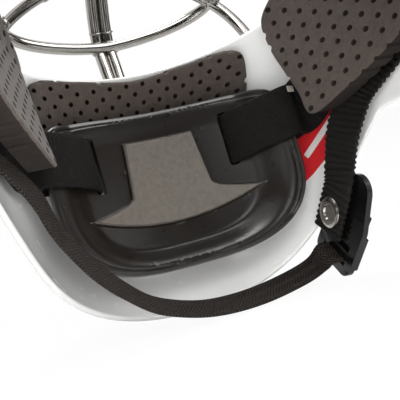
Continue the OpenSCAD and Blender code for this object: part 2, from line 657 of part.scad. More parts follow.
module snap_strap_rivet() color("silver") stand() at_snap_anchor()
    translate([0, 0, touch]) rivet(strap_rivet_grip);
// Snap fastener: a steel eyelet on the strap's inner face and its stud outside
stud_r = 3;
stud_knob_r = 4;
eyelet_r = 7.5;
eyelet_t = 1.4;
knob_h = 3.4;
module snap_stud() color("silver") stand() at_snap() {
    translate([0, 0, -web_t / 2 - touch - eyelet_t]) rotate_extrude($fn = 48)
        polygon([[0, 0.9], [3.2, 0.9], [3.8, 0.1], [6, 0], [eyelet_r, 0.7], [eyelet_r, eyelet_t],
            [0, eyelet_t]]);
    translate([0, 0, -web_t / 2 - touch - 0.2]) cylinder(r = stud_r, h = web_t + 2 * touch + 1.4);
    translate([0, 0, web_t / 2 + touch]) rotate_extrude($fn = 48) polygon([[0, 0],
        [eyelet_r - 0.5, 0], [eyelet_r - 0.5, 0.8], [stud_r, 0.8], [stud_r, 1.6],
        [stud_knob_r, 2.2], [stud_knob_r, 2.8], [stud_r, knob_h], [0, knob_h]]);
}
// Buckle: a socket for the stud and a ladder lock for the chin webbing. In its
// frame x runs forwards, y up and z outwards
buckle_l = 50;
buckle_w = 28;
buckle_t = 3;
buckle_lean = 8;
buckle_off = web_t / 2 + touch + 0.8 + touch;
socket_at = [8, 0];
socket_h = 3;
bar_at = -14.7;
bar_r = 2;
slot_h = 3.6;
slots_at = [bar_at - 3.9, bar_at + 3.9];
buckle_x = -sin(buckle_lean) * snap_down - cos(buckle_lean) * snap_side;
buckle_y = sin(buckle_lean) * snap_side - cos(buckle_lean) * snap_down;
function from_buckle(p) = snap + (buckle_off + p.z) * snap_out + (p.x - socket_at.x) * buckle_x
    + (p.y - socket_at.y) * buckle_y;
module at_buckle() at(from_buckle([0, 0, 0]), snap_out, buckle_x) children();
module buckle_outline() hull() {
    translate([0, buckle_l / 2 - 9]) circle(r = 9);
    for (s = [-1, 1]) translate([s * (buckle_w / 2 - 9.5), 0]) circle(r = 9.5);
    for (s = [-1, 1]) translate([s * (buckle_w / 2 - 5), -buckle_l / 2 + 5]) circle(r = 5);
}
module snap_buckle() color([0.08, 0.08, 0.08]) stand() at_buckle() difference() {
    union() {
        linear_extrude(buckle_t) buckle_outline();
        translate([socket_at.x - 2, socket_at.y, 0]) cylinder(r = 7.8, h = buckle_t + socket_h);
        for (s = [-1, 1]) translate([s * (buckle_w / 2 - 1.6) - 1.3, -buckle_l / 2 + 5, 0])
            cube([2.6, 18, buckle_t + 2]);
        translate([-buckle_w / 2 + 3, bar_at, buckle_t - 0.5]) rotate([0, 90, 0])
            cylinder(r = bar_r, h = buckle_w - 6);
    }
    translate([socket_at.x, socket_at.y, -1]) cylinder(r = stud_knob_r + 0.4, h = knob_h + 1.2);
    for (y = slots_at) translate([-chin_web_w / 2 - 1.5, y - slot_h / 2, -1])
        cube([chin_web_w + 3, slot_h, 12]);
}

// Chin strap: from the left jaw under the chin, out through the buckle's lower
// slot and up over its bar
chin_run = [[-46, 130], [-47, 121], [-47, 113]];
chin_free = [[80, -45, 88], [74, -45, 72], [68, -45, 60], [60, -45, 48],
    [50, -45, 37], [36, -45, 25.5], [18, -45, 18], [0, -45, 14.5], [-20, -46, 13.5],
    [-42, -49, 14.5], [-56, -52, 16.5]];
chin_across = [for (i = [0:len(chin_free) - 1]) [mix(0.45, 0, clamp((i - 3) / 4)), 1, 0]];
chin_lock = [[0, slots_at[0] - 0.4, -5], [0, slots_at[0], 0.5], [0, slots_at[0] + 0.1, 3.4],
    [0, slots_at[0] + 1.8, 6.2], [0, bar_at + 1, 7.4], [0, bar_at + 7, 7.9],
    [0, bar_at + 20, 8.2]];
module at_chin_anchor() at_wall(1, chin_run[1].x, chin_run[1].y) children();
module chin_strap() color("black") stand() difference() {
    webbing(concat([for (q = chin_run) wall_point(1, q.x, q.y, strap_depth)], chin_free,
        [for (q = chin_lock) from_buckle(q)]),
        concat([for (q = chin_run) in_wall(1, q.x, q.y, [0, 1, 0])],
        chin_across, [for (q = chin_lock) -buckle_x]), chin_web_w, 3);
    at_chin_anchor() translate([0, 0, -20]) cylinder(r = rivet_r + touch, h = 40);
}
module chin_strap_rivet() color("silver") stand() at_chin_anchor()
    translate([0, 0, touch]) rivet(strap_rivet_grip);

// Back plate
function plate_outline(w, lo, hi, trim) = let (h = hi - lo, v = w - trim)
    loop_spline(mirrored([[0, hi - trim], [0.6 * v, hi - trim - 3], [v - 4, hi - trim - 18],
        [v, hi - 46], [0.9 * v, lo + 0.44 * h], [0.74 * v, lo + 0.17 * h],
        [0.5 * v, lo + trim + 3], [0, lo + trim]]), 3);
plate_mid = [0, (plate_low_z + plate_top_z) / 2];
module plate_solid(trim, from, to) let (
        out = plate_outline(plate_half_w, plate_low_z, plate_top_z, trim))
    loft([for (s = [[0.25, to], [0.5, to], [0.75, to], [1, to], [1, from], [0.75, from],
            [0.5, from], [0.25, from]])
        [for (p = out) let (q = plate_mid + (p - plate_mid) * s[0])
            plate_point(q.x, q.y, s[1])]],
        plate_point(0, plate_mid.y, to), plate_point(0, plate_mid.y, from));
vent_l = 26;
vent_x = 10;
vent_rise = 16;
vent_w = 6;
vent_zs = [118, 134, 150, 166];
module backplate() color("white") on_ground() stand() difference() {
    plate_solid(0, 0, plate_t);
    for (z = vent_zs, s = [-1, 1]) translate([s * vent_x, plate_y - 60, z])
        rotate([-90, -s * vent_rise, 0]) {
            for (x = [0, s * (vent_l - vent_w)]) translate([x, 0, 0])
                cylinder(r = vent_w / 2, h = 90);
            translate([min(0, s * (vent_l - vent_w)), -vent_w / 2, 0])
                cube([vent_l - vent_w, vent_w, 90]);
        }
    for (k = [0:4]) at_plate_end(k) translate([0, 0, -10])
        cylinder(r = rivet_r + touch / 2, h = 20);
}
plate_pad_t = 9;
plate_pad_gap = 1.1;
plate_pad_trim = 9;
module backplate_pad() color(foam) stand() let (
        out = plate_outline(plate_half_w, plate_low_z, plate_top_z, plate_pad_trim))
    difference() {
        loft([for (s = [[0.25, 0], [0.5, 0], [0.75, 0], [1, 0], [1.01, 0.45], [0.96, 0.95],
                [0.75, 1], [0.5, 1], [0.25, 1]])
            [for (p = out) let (q = plate_mid + (p - plate_mid) * s[0])
                plate_point(q.x, q.y, -plate_pad_gap - plate_pad_t * s[1])]],
            plate_point(0, plate_mid.y, -plate_pad_gap),
            plate_point(0, plate_mid.y, -plate_pad_gap - plate_pad_t));
        for (k = [0:4]) at_plate_end(k) translate([0, 0, -plate_t - 4])
            cylinder(r = rivet_head_r + 1, h = 9);
    }

// Harness: five flat elastics from the shell's rear edge to the back plate,
// in the order top, upper left, upper right, lower left, lower right
strap_rounds = [90, 40, 140, -1, 181];
strap_plate_ends = [[0, plate_top_z - 13], [plate_half_w - 14, plate_top_z - 32],
    [-plate_half_w + 14, plate_top_z - 32], [0.66 * plate_half_w, plate_low_z + 38],
    [-0.66 * plate_half_w, plate_low_z + 38]];
strap_lift = 1.7;
edge_in = 9;
function edge_cone_dir(k, back) = cone_dir(back_cone - back, strap_rounds[k]);
function strap_out(k) = shell_normal(edge_cone_dir(k, edge_in));
function plate_normal(x, z) = unit(cross(
    plate_point(x, z + 0.5, 0) - plate_point(x, z - 0.5, 0),
    plate_point(x + 0.5, z, 0) - plate_point(x - 0.5, z, 0)));
module at_shell_end(k) at(on_shell(edge_cone_dir(k, edge_in)), strap_out(k),
    on_shell(edge_cone_dir(k, 0)) - on_shell(edge_cone_dir(k, edge_in))) children();
module at_plate_end(k) let (e = strap_plate_ends[k])
    at(plate_point(e.x, e.y, plate_t), plate_normal(e.x, e.y), [0, 0, 1]) children();
function harness_path(k) = let (
        e = strap_plate_ends[k],
        n = plate_normal(e.x, e.y),
        lift = strap_lift + web_t / 2,
        b = plate_point(e.x, e.y, plate_t) + n * lift,
        s = on_shell(edge_cone_dir(k, edge_in)) + strap_out(k) * lift,
        edge = on_shell(edge_cone_dir(k, 0)) + shell_normal(edge_cone_dir(k, 1)) * (lift + 0.8),
        rim = plate_rim(k) + n * (lift + 0.4))
    concat([on_shell(edge_cone_dir(k, edge_in + 5)) + strap_out(k) * lift, s, edge],
        [for (t = [0.2:0.2:0.8]) mix(edge, rim, t)],
        [rim, b, b + (b - rim) * 0.5]);
// Where the strap passes the back plate's edge
plate_margin = 15;
function plate_rim(k) = let (e = strap_plate_ends[k],
        f = on_shell(edge_cone_dir(k, 0)),
        g = unit([f.x - e.x, f.z - e.y]))
    plate_point(e.x + g.x * plate_margin, e.y + g.y * plate_margin, plate_t);
function strap_across(k) = let (p = harness_path(k), n = len(p))
    [for (i = [0:n - 1]) let (
            f = unit(p[min(n - 1, i + 1)] - p[max(0, i - 1)]),
            e = strap_plate_ends[k],
            o = unit(mix(strap_out(k), plate_normal(e.x, e.y), smooth((i - 2) / 3))))
        unit(cross(o, f))];
module harness_strap(k) color("black") stand() difference() {
    strap(harness_path(k), strap_across(k), harness_w, web_t);
    at_shell_end(k) translate([0, 0, -10]) cylinder(r = rivet_r + strap_gap, h = 20);
    at_plate_end(k) translate([0, 0, -10]) cylinder(r = rivet_r + strap_gap, h = 20);
}
module top_strap() harness_strap(0);
module upper_strap_left() harness_strap(1);
module upper_strap_right() harness_strap(2);
module lower_strap_left() harness_strap(3);
module lower_strap_right() harness_strap(4);
strap_grip = strap_lift + web_t + 2 * touch;
module harness_rivets() color("silver") stand() for (k = [0:4]) at_shell_end(k)
    translate([0, 0, strap_grip]) rivet(strap_grip + shell_wall + 3 * touch);
module backplate_rivets() color("silver") stand() for (k = [0:4]) at_plate_end(k)
    translate([0, 0, strap_grip]) rivet(strap_grip + plate_t + 2.5 * touch);
// Sliders: a frame round the webbing and a bar over it
slider_l = 16;
slider_wall = 3;
slider_gap = 0.4;
slider_t = 2;
module slider(k) let (
        p = harness_path(k),
        a = p[5],
        b = p[6],
        w = strap_across(k),
        out = cross(b - a, w[5] + w[6]))
    color([0.1, 0.1, 0.1]) stand() at((a + b) / 2, out, b - a) difference() {
        translate([-slider_l / 2, -harness_w / 2 - slider_gap - slider_wall,
            -web_t / 2 - slider_gap - slider_t])
            cube([slider_l, harness_w + 2 * (slider_gap + slider_wall),
                web_t + 2 * (slider_gap + slider_t)]);
        translate([-slider_l, -harness_w / 2 - slider_gap, -web_t / 2 - slider_gap])
            cube([2 * slider_l, harness_w + 2 * slider_gap, web_t + 2 * slider_gap]);
        for (s = [-1, 1]) translate([s * slider_l / 4 - slider_l / 8, -harness_w / 2, 0])
            cube([slider_l / 4, harness_w, 10]);
    }
module top_slider() slider(0);
module upper_slider_left() slider(1);
module upper_slider_right() slider(2);
module lower_slider_left() slider(3);
module lower_slider_right() slider(4);

shell();
cage_perimeter_wire();
cage_centre_rods();
cage_u_bar();
cage_arch_bar();
cage_brow_bar();
cage_cheek_bars();
cage_upper_bars();
cage_clips();
clip_screws();
clip_t_nuts();
chin_front_pad();
cheek_pad_left();
cheek_pad_right();
cheek_backing_left();
cheek_backing_right();
temple_pads();
forehead_pad();
sweatband();
crown_pad();
chin_cup();
chin_cup_elastic_left();
chin_cup_elastic_right();
elastic_rivets();
snap_strap();
snap_stud();
snap_buckle();
chin_strap();
chin_strap_rivet();
snap_strap_rivet();
backplate();
backplate_pad();
top_strap();
upper_strap_left();
upper_strap_right();
lower_strap_left();
lower_strap_right();
top_slider();
upper_slider_left();
upper_slider_right();
lower_slider_left();
lower_slider_right();
harness_rivets();
backplate_rivets();
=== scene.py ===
"""Looks of the hockey goalie mask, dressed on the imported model.

Points are worked out in the wearer's frame in millimetres, as the part's source does it, and
stand() takes them to the model's frame in metres.
"""

import math

import bpy
import numpy as np
from mathutils import Matrix, Vector
from mathutils.geometry import delaunay_2d_cdt


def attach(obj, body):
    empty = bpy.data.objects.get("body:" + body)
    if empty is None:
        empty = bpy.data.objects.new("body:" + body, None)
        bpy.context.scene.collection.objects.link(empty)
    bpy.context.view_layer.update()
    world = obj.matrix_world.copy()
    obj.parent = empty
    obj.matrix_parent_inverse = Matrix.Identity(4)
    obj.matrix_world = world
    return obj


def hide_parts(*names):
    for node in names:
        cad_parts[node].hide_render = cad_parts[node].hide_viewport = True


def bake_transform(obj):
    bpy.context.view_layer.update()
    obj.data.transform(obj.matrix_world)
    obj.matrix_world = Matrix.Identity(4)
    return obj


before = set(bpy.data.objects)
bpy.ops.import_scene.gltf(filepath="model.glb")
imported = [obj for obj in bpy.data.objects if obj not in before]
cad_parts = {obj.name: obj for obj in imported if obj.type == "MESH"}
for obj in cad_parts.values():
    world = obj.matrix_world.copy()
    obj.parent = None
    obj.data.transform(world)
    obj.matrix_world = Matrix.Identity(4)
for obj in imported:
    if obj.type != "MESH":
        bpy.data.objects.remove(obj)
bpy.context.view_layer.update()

# Sizes shared with the part's source, in millimetres and degrees
HEAD = np.array([0.0, 10.0, 150.0])
HALF_W, WALL = 116.0, 3.6
WIRE_R, WIRE_GAP = 3.0, 0.4
FOAM_T, CHIN_FOAM_T, FOAM_GAP = 12.0, 8.0, 0.8
WEB_T, TOUCH = 1.6, 0.3
JAW_TAPER, JAW_Z, TEMPLE_Z = 0.785, 40.0, 170.0
JAW_CONE, BACK_CONE, JAW_TURN, JAW_END = 63.0, 111.0, 26.0, -31.0
INNER = WALL + FOAM_GAP
SIDES = ((1, "left"), (-1, "right"))
MID_LINE = np.array([[-64, 166], [-52, 178], [-40, 178.5], [-18, 159], [0, 147], [20, 135],
    [36, 132], [60, 142], [90, 152], [112, 150], [150, 147], [190, 146], [240, 150],
    [296, 166]], float)


def sind(a):
    return np.sin(np.radians(a))


def cosd(a):
    return np.cos(np.radians(a))


def mix(a, b, t):
    return a + (b - a) * t


def smooth(t):
    c = np.clip(t, 0, 1)
    return c * c * (3 - 2 * c)


def unit(v):
    v = np.asarray(v, float)
    return v / np.maximum(np.linalg.norm(v, axis=-1, keepdims=True), 1e-12)


def points(*parts):
    """Coordinates side by side, each a number or an array."""
    return np.stack(np.broadcast_arrays(*[np.asarray(p, float) for p in parts]), -1)


def spline(p, k):
    """Catmull-Rom curve through given points, k steps between two."""
    p = np.asarray(p, float)
    q = np.concatenate([p[:1], p, p[-1:]])
    t = (np.arange(k) / k)[:, None]
    out = [0.5 * (2 * b + (c - a) * t + (2 * a - 5 * b + 4 * c - d) * t**2
                  + (3 * b - a - 3 * c + d) * t**3)
           for a, b, c, d in zip(q[:-3], q[1:-2], q[2:-1], q[3:])]
    return np.concatenate(out + [p[-1:]])


def loop_spline(p, k):
    p = np.asarray(p, float)
    return spline(np.concatenate([p[-1:], p, p[:2]]), k)[k:-k - 1]


def travel(p):
    """How far along a line each of its points lies."""
    return np.concatenate([[0], np.cumsum(np.linalg.norm(np.diff(p, axis=0), axis=1))])


def even(loop, step):
    """The same closed outline with points at an even spacing."""
    p = np.concatenate([loop, loop[:1]])
    s = travel(p)
    t = np.linspace(0, s[-1], max(2, int(round(s[-1] / step))) + 1)[:-1]
    return np.stack([np.interp(t, s, p[:, i]) for i in range(2)], 1)


# The shell's surface
RISE = (np.roll(MID_LINE[:-1, 1], -1) - np.roll(MID_LINE[:-1, 1], 1)) / (
    (np.roll(MID_LINE[:-1, 0], -1) - np.roll(MID_LINE[:-1, 0], 1)) % 360)
RISE = np.append(RISE, RISE[0])


def mid_radius(a):
    b = (np.asarray(a, float) - MID_LINE[0, 0]) % 360 + MID_LINE[0, 0]
    i = np.clip(np.searchsorted(MID_LINE[:, 0], b, "right") - 1, 0, len(MID_LINE) - 2)
    h = MID_LINE[i + 1, 0] - MID_LINE[i, 0]
    t = (b - MID_LINE[i, 0]) / h
    return (MID_LINE[i, 1] * (2 * t**3 - 3 * t**2 + 1) + RISE[i] * h * (t**3 - 2 * t**2 + t)
            + MID_LINE[i + 1, 1] * (3 * t**2 - 2 * t**3) + RISE[i + 1] * h * (t**3 - t**2))


def squareness(a):
    """Exponent of the shell's cross-section at an angle from the front."""
    return 2.65 - 0.35 * sind(a)


def taper(z):
    return mix(JAW_TAPER, 1, smooth((z - JAW_Z) / (TEMPLE_Z - JAW_Z)))


def on_shell(d, inset=0.0):
    d = unit(d)
    a = np.degrees(np.arctan2(d[..., 2], -d[..., 1]))
    n = squareness(a)
    r = ((np.abs(d[..., 0]) / (HALF_W - inset)) ** n
         + (np.hypot(d[..., 1], d[..., 2]) / (mid_radius(a) - inset)) ** n) ** (-1 / n)
    p = HEAD + r[..., None] * d
    return points(p[..., 0] * taper(p[..., 2]), p[..., 1], p[..., 2])


def front_point(x, a, inset=0.0):
    n = squareness(a)
    q = np.clip(np.abs(x) / (HALF_W - inset), 0, 1)
    r = (mid_radius(a) - inset) * (1 - q**n) ** (1 / n)
    z = HEAD[2] + r * sind(a)
    return points(x * taper(z), HEAD[1] - r * cosd(a), z)


def side_x(y, z, inset=0.0):
    a = np.degrees(np.arctan2(z - HEAD[2], HEAD[1] - y))
    n = squareness(a)
    q = np.clip(np.hypot(y - HEAD[1], z - HEAD[2]) / (mid_radius(a) - inset), 0, 1)
    return (HALF_W - inset) * (1 - q**n) ** (1 / n) * taper(z)


def cone_dir(a, turn):
    return points(sind(a) * cosd(turn), -cosd(a), sind(a) * sind(turn))


def shell_normal(d):
    d = unit(d)
    s = unit(np.cross(d, [0.3, 0.2, 0.93]))
    t = np.cross(s, d)
    e = 0.01
    n = unit(np.cross(on_shell(d + e * s) - on_shell(d - e * s),
                      on_shell(d + e * t) - on_shell(d - e * t)))
    return np.where((n * d).sum(-1, keepdims=True) > 0, n, -n)


def wall_normal(side, y, z):
    return shell_normal([side * side_x(y, z) / taper(z), y - HEAD[1], z - HEAD[2]])


def wall_point(side, y, z, depth=0.0):
    return np.array([side * side_x(y, z), y, z]) - wall_normal(side, y, z) * depth


def in_wall(side, y, z, v):
    n = wall_normal(side, y, z)
    return unit(v - np.dot(v, n) * n)


# The window as the head sees it: half as wide, how far above and below, how square
WIN_X, WIN_TOP, WIN_LOW = (math.tan(math.radians(a)) for a in (41.5, 35, 18.3))
WIN_UP, WIN_MID = (WIN_TOP + WIN_LOW) / 2, (WIN_TOP - WIN_LOW) / 2
WIN_SQUARE_LOW, WIN_SQUARE_TOP = 2.05, 2.6


def spow(v, e):
    return np.sign(v) * np.abs(v) ** e


def window_dir(t, grow=1.0):
    n = np.where(sind(t) < 0, WIN_SQUARE_LOW, WIN_SQUARE_TOP)
    return points(WIN_X * grow * spow(cosd(t), 2 / n), -1,
                  WIN_MID + WIN_UP * grow * spow(sind(t), 2 / n))


def edge_dir(t, s):
    w = window_dir(t)
    a0 = np.degrees(np.arctan(np.hypot(w[..., 0], w[..., 2])))
    r0 = np.degrees(np.arctan2(w[..., 2], w[..., 0]))
    turn = (t - r0 + 540) % 360 - 180
    cone = mix(JAW_CONE, BACK_CONE,
               smooth((np.degrees(np.arcsin(np.clip(sind(t), -1, 1))) - JAW_END) / JAW_TURN))
    return cone_dir(mix(a0, cone, s), r0 + turn * s)


# Standing pose
EDGE = on_shell(cone_dir(JAW_CONE, -90.0))
PLATE_HALF_W, PLATE_LOW, PLATE_TOP, PLATE_Y, PLATE_T = 62.0, 62.0, 222.0, 122.0, 3.0
CURVE_R, BOW_R, BOW_Z = 85.0, 190.0, 160.0
STAND_Y, FOOT_CUT = 93.95, 0.4


def plate_point(x, z, out):
    return points(x, PLATE_Y + out - (CURVE_R - np.sqrt(CURVE_R**2 - x * x))
                  - (BOW_R - np.sqrt(BOW_R**2 - (z - BOW_Z) ** 2)), z)


FOOT = plate_point(0.0, PLATE_LOW, PLATE_T)
LEAN = math.atan((FOOT[2] - EDGE[2]) / (FOOT[1] - EDGE[1]))


def turn_lean(v):
    c, s = math.cos(LEAN), math.sin(LEAN)
    v = np.asarray(v, float)
    return points(v[..., 0], v[..., 1] * c + v[..., 2] * s, v[..., 2] * c - v[..., 1] * s)


def stand(p):
    """From the wearer's frame in millimetres to the model's frame in metres."""
    return (turn_lean(np.asarray(p, float) - [0, EDGE[1], EDGE[2]])
            - [0, STAND_Y, FOOT_CUT]) / 1000


# The camera stands close behind the open back, at the wearer's left, and looks down to the chin
EYE, YAW, DOWN, ROLL = (146.5, 231.4, 199.5), 26.5, 23.0, -2.7
FOCAL_PX, FRAME_PX = 800, 400
# In metres; the back plate and the strap ends beside the lens are nearer and left out
NEAR_CUT, FAR_CUT = 0.221, 20


def add_object(name, data):
    o = bpy.data.objects.new(name, data)
    bpy.context.scene.collection.objects.link(o)
    return o


def set_camera():
    cy, sy, cd, sd = cosd(YAW), sind(YAW), cosd(DOWN), sind(DOWN)
    look = np.array([-sy * cd, -cy * cd, -sd])
    right = np.array([-cy, sy, 0.0])
    up = np.cross(right, look)
    right, up = cosd(ROLL) * right + sind(ROLL) * up, -sind(ROLL) * right + cosd(ROLL) * up
    data = bpy.data.cameras.new("camera")
    data.lens = data.sensor_width * FOCAL_PX / FRAME_PX
    data.clip_start, data.clip_end = NEAR_CUT, FAR_CUT
    cam = add_object("camera", data)
    m = Matrix.Identity(4)
    for i, axis in enumerate((right, up, -look)):
        m.col[i][:3] = turn_lean(axis)
    m.translation = Vector(stand(EYE))
    cam.matrix_world = m
    bpy.context.scene.camera = cam


# Meshes
def outward(mesh):
    """Turns the faces outwards if the closed mesh came out inside out."""
    co = np.zeros(len(mesh.vertices) * 3)
    mesh.vertices.foreach_get("co", co)
    co = co.reshape(-1, 3)
    volume = 0.0
    for f in mesh.polygons:
        v = co[list(f.vertices)]
        for i in range(1, len(v) - 1):
            volume += np.dot(v[0], np.cross(v[i], v[i + 1]))
    if volume < 0:
        mesh.flip_normals()


def make_piece(name, verts, faces, materials, crease, uvs=None, face_material=None):
    """A mesh piece in the model's frame; verts are in the wearer's frame in millimetres."""
    mesh = bpy.data.meshes.new(name)
    mesh.from_pydata(stand(verts).tolist(), [], faces)
    if uvs is not None:
        layer = mesh.uv_layers.new(name="millimetres")
        layer.data.foreach_set("uv", np.asarray(uvs, np.float32).ravel())
    for m in materials:
        mesh.materials.append(m)
    if face_material is not None:
        mesh.polygons.foreach_set("material_index", np.asarray(face_material, np.int32))
    mesh.validate()
    mesh.shade_smooth()
    mesh.set_sharp_from_angle(angle=math.radians(crease))
    outward(mesh)
    return add_object(name, mesh)


def skin_faces(m, n, along):
    """Quads over m closed rows of n points; along joins the last row to the first."""
    j = np.arange(m if along else m - 1)[:, None]
    i = np.arange(n)[None]
    a, b = j * n + i, j * n + (i + 1) % n
    c, d = (j + 1) % m * n + (i + 1) % n, (j + 1) % m * n + i
    return np.stack([a, b, c, d], -1).reshape(-1, 4)


def skin_uvs(rows, along):
    """Distances across and along the skin in millimetres, for each corner of each quad."""
    full = np.concatenate([rows, rows[:1]]) if along else rows
    full = np.concatenate([full, full[:, :1]], 1)
    u = np.cumsum(np.linalg.norm(np.diff(full, axis=1), axis=2), 1)
    u = np.concatenate([np.zeros((len(full), 1)), u], 1)
    v = np.concatenate([[0], np.cumsum(np.linalg.norm(np.diff(full, axis=0), axis=2).mean(1))])
    uv = np.stack([u, np.broadcast_to(v[:, None], u.shape)], -1)
    return np.stack([uv[:-1, :-1], uv[:-1, 1:], uv[1:, 1:], uv[1:, :-1]], 2).reshape(-1, 2)


def skin(name, groups, material, crease, along=False):
    """One piece from groups of closed rows, each group a ring along or capped at both ends."""
    verts, faces, uvs = [], [], []
    at = 0
    for rows in groups:
        m, n = rows.shape[:2]
        faces += (skin_faces(m, n, along) + at).tolist()
        uvs.append(skin_uvs(rows, along))
        if not along:
            faces += [list(range(at, at + n))[::-1], list(range(at + (m - 1) * n, at + m * n))]
            uvs.append(np.zeros((2 * n, 2)))
        verts.append(rows.reshape(-1, 3))
        at += m * n
    return make_piece(name, np.concatenate(verts), faces, [material], crease,
                      np.concatenate(uvs))


WIRE_SIDES, END_TURNS = 20, (5, 30, 55, 75)


def tube_rows(path, closed=False):
    """Rings round a cage wire, its ends rounded."""
    p = np.asarray(path, float)
    t = unit(np.roll(p, -1, 0) - np.roll(p, 1, 0) if closed else np.gradient(p, axis=0))
    a = unit(np.cross(t, p - HEAD))
    b = np.cross(a, t)
    size = np.full(len(p), WIRE_R)
    if not closed:
        g = np.radians(END_TURNS)
        out, ring = WIRE_R * np.cos(g)[:, None], WIRE_R * np.sin(g)
        p = np.concatenate([p[0] - t[0] * out, p, p[-1] + t[-1] * out[::-1]])
        a, b = (np.pad(v, ((len(g), len(g)), (0, 0)), "edge") for v in (a, b))
        size = np.concatenate([ring, size, ring[::-1]])
    g = np.radians(np.arange(WIRE_SIDES) * 360 / WIRE_SIDES)[None, :, None]
    return p[:, None] + size[:, None, None] * (np.cos(g) * a[:, None] + np.sin(g) * b[:, None])


BEAD_SIDES, BEAD_RINGS, BEAD_ROUGH = 12, 8, 0.07


def bead_rows(centre, half, seed):
    """A weld bead: a small lump with three half axes, a little uneven."""
    rough = np.random.default_rng(seed)
    g = np.radians(np.linspace(4, 176, BEAD_RINGS))[:, None]
    h = np.radians(np.arange(BEAD_SIDES) * 360 / BEAD_SIDES)[None]
    lump = 1 + BEAD_ROUGH * rough.standard_normal((BEAD_RINGS, BEAD_SIDES, 1))
    return centre + lump * half * points(np.sin(g) * np.cos(h), np.sin(g) * np.sin(h), np.cos(g))


# Flat outlines: how many points are measured at once, and a hexagonal grid's row for each pitch
CHUNK, HEX_ROW = 2000, 0.866


def edge_gap(p, loop):
    """How far each point lies from a closed outline."""
    a = loop
    d = np.roll(loop, -1, 0) - a
    size = np.maximum((d * d).sum(1), 1e-12)
    best = np.full(len(p), np.inf)
    for k in range(0, len(p), CHUNK):
        v = p[k:k + CHUNK, None] - a[None]
        t = np.clip((v * d).sum(-1) / size, 0, 1)
        best[k:k + CHUNK] = np.linalg.norm(v - t[..., None] * d, axis=-1).min(1)
    return best


def inside(p, loop):
    a, b = loop, np.roll(loop, -1, 0)
    hit = np.zeros(len(p), int)
    for (x0, y0), (x1, y1) in zip(a, b):
        if y0 == y1:
            continue
        cut = (y0 > p[:, 1]) != (y1 > p[:, 1])
        hit += cut & (p[:, 0] < x0 + (p[:, 1] - y0) * (x1 - x0) / (y1 - y0))
    return hit % 2 == 1


def arc(c, r, angles):
    return np.asarray(c) + r * np.stack([cosd(angles), sind(angles)], 1)


def scaled(loop, k):
    """An outline made larger or smaller about its own middle."""
    c = loop.mean(0)
    return c + (loop - c) * k


def within(p, loop, gap):
    """The points inside an outline and more than gap away from it."""
    return p[inside(p, loop) & (edge_gap(p, loop) > gap)]


def shrink(loop, d):
    """The outline moved inwards by d; it runs anticlockwise."""
    t = unit(np.roll(loop, -1, 0) - np.roll(loop, 1, 0))
    return loop + d * np.stack([-t[:, 1], t[:, 0]], 1)


def anticlockwise(loop):
    x, y = loop.T
    area = (x * np.roll(y, -1) - y * np.roll(x, -1)).sum()
    return loop if area > 0 else loop[::-1]


def triangles(outline, rings, extra):
    """Triangles inside the outline and outside the rings, through extra points as well."""
    loops = [outline, *rings]
    p = np.concatenate([*loops, extra])
    edges, at = [], 0
    for loop in loops:
        n = len(loop)
        edges += [(at + i, at + (i + 1) % n) for i in range(n)]
        at += n
    flat, _, faces, came, _, _ = delaunay_2d_cdt([Vector(v) for v in p], edges, [], 1, 1e-6)
    index = np.zeros(len(p), int)
    for new, old in enumerate(came):
        for k in old:
            index[k] = new
    flat = np.array([tuple(v) for v in flat])
    faces = np.array(faces)
    mid = flat[faces].mean(1)
    keep = np.ones(len(faces), bool)
    for ring in rings:
        c, r = ring.mean(0), np.linalg.norm(ring - ring.mean(0), axis=1).max()
        near = np.where(keep & (np.linalg.norm(mid - c, axis=1) < r))[0]
        keep[near[inside(mid[near], ring)]] = False
    return flat, faces[keep], index


def hexagons(outline, pitch):
    """Evenly spread points over an outline's box."""
    lo, hi = outline.min(0), outline.max(0)
    rows = np.arange(lo[1], hi[1], pitch * HEX_ROW)
    return np.array([[x + pitch / 2 * (j % 2), y] for j, y in enumerate(rows)
                     for x in np.arange(lo[0], hi[0], pitch)])


# Slabs: spacing of the cut edge's points, how far in the rounded rim's rings lie, a hole's
# widened mouth and lip, the foam left between a hole and the edge, and a cut opening's lip
EDGE_STEP, RIM_STEPS, MOUTH, LIP, KEEP = 0.9, (0.15, 0.5, 1.0), 0.3, 0.4, 0.5
CUT_IN, CUT_LIP = 0.985, 0.35
# Room left free of points inside the rim and round a hole, and the underside's coarser grid
RIM_FREE, HOLE_FREE, HOLE_GROW, BACK_GROW, BACK_PITCH = 0.4, 0.8, 1.15, 1.3, 1.5
HOLE_PITCH, HOLE_ROW, HOLE_R, HOLE_SIDES = 10.0, 5.0, 1.05, 12
GROOVE_R = HOLE_R * 1.15


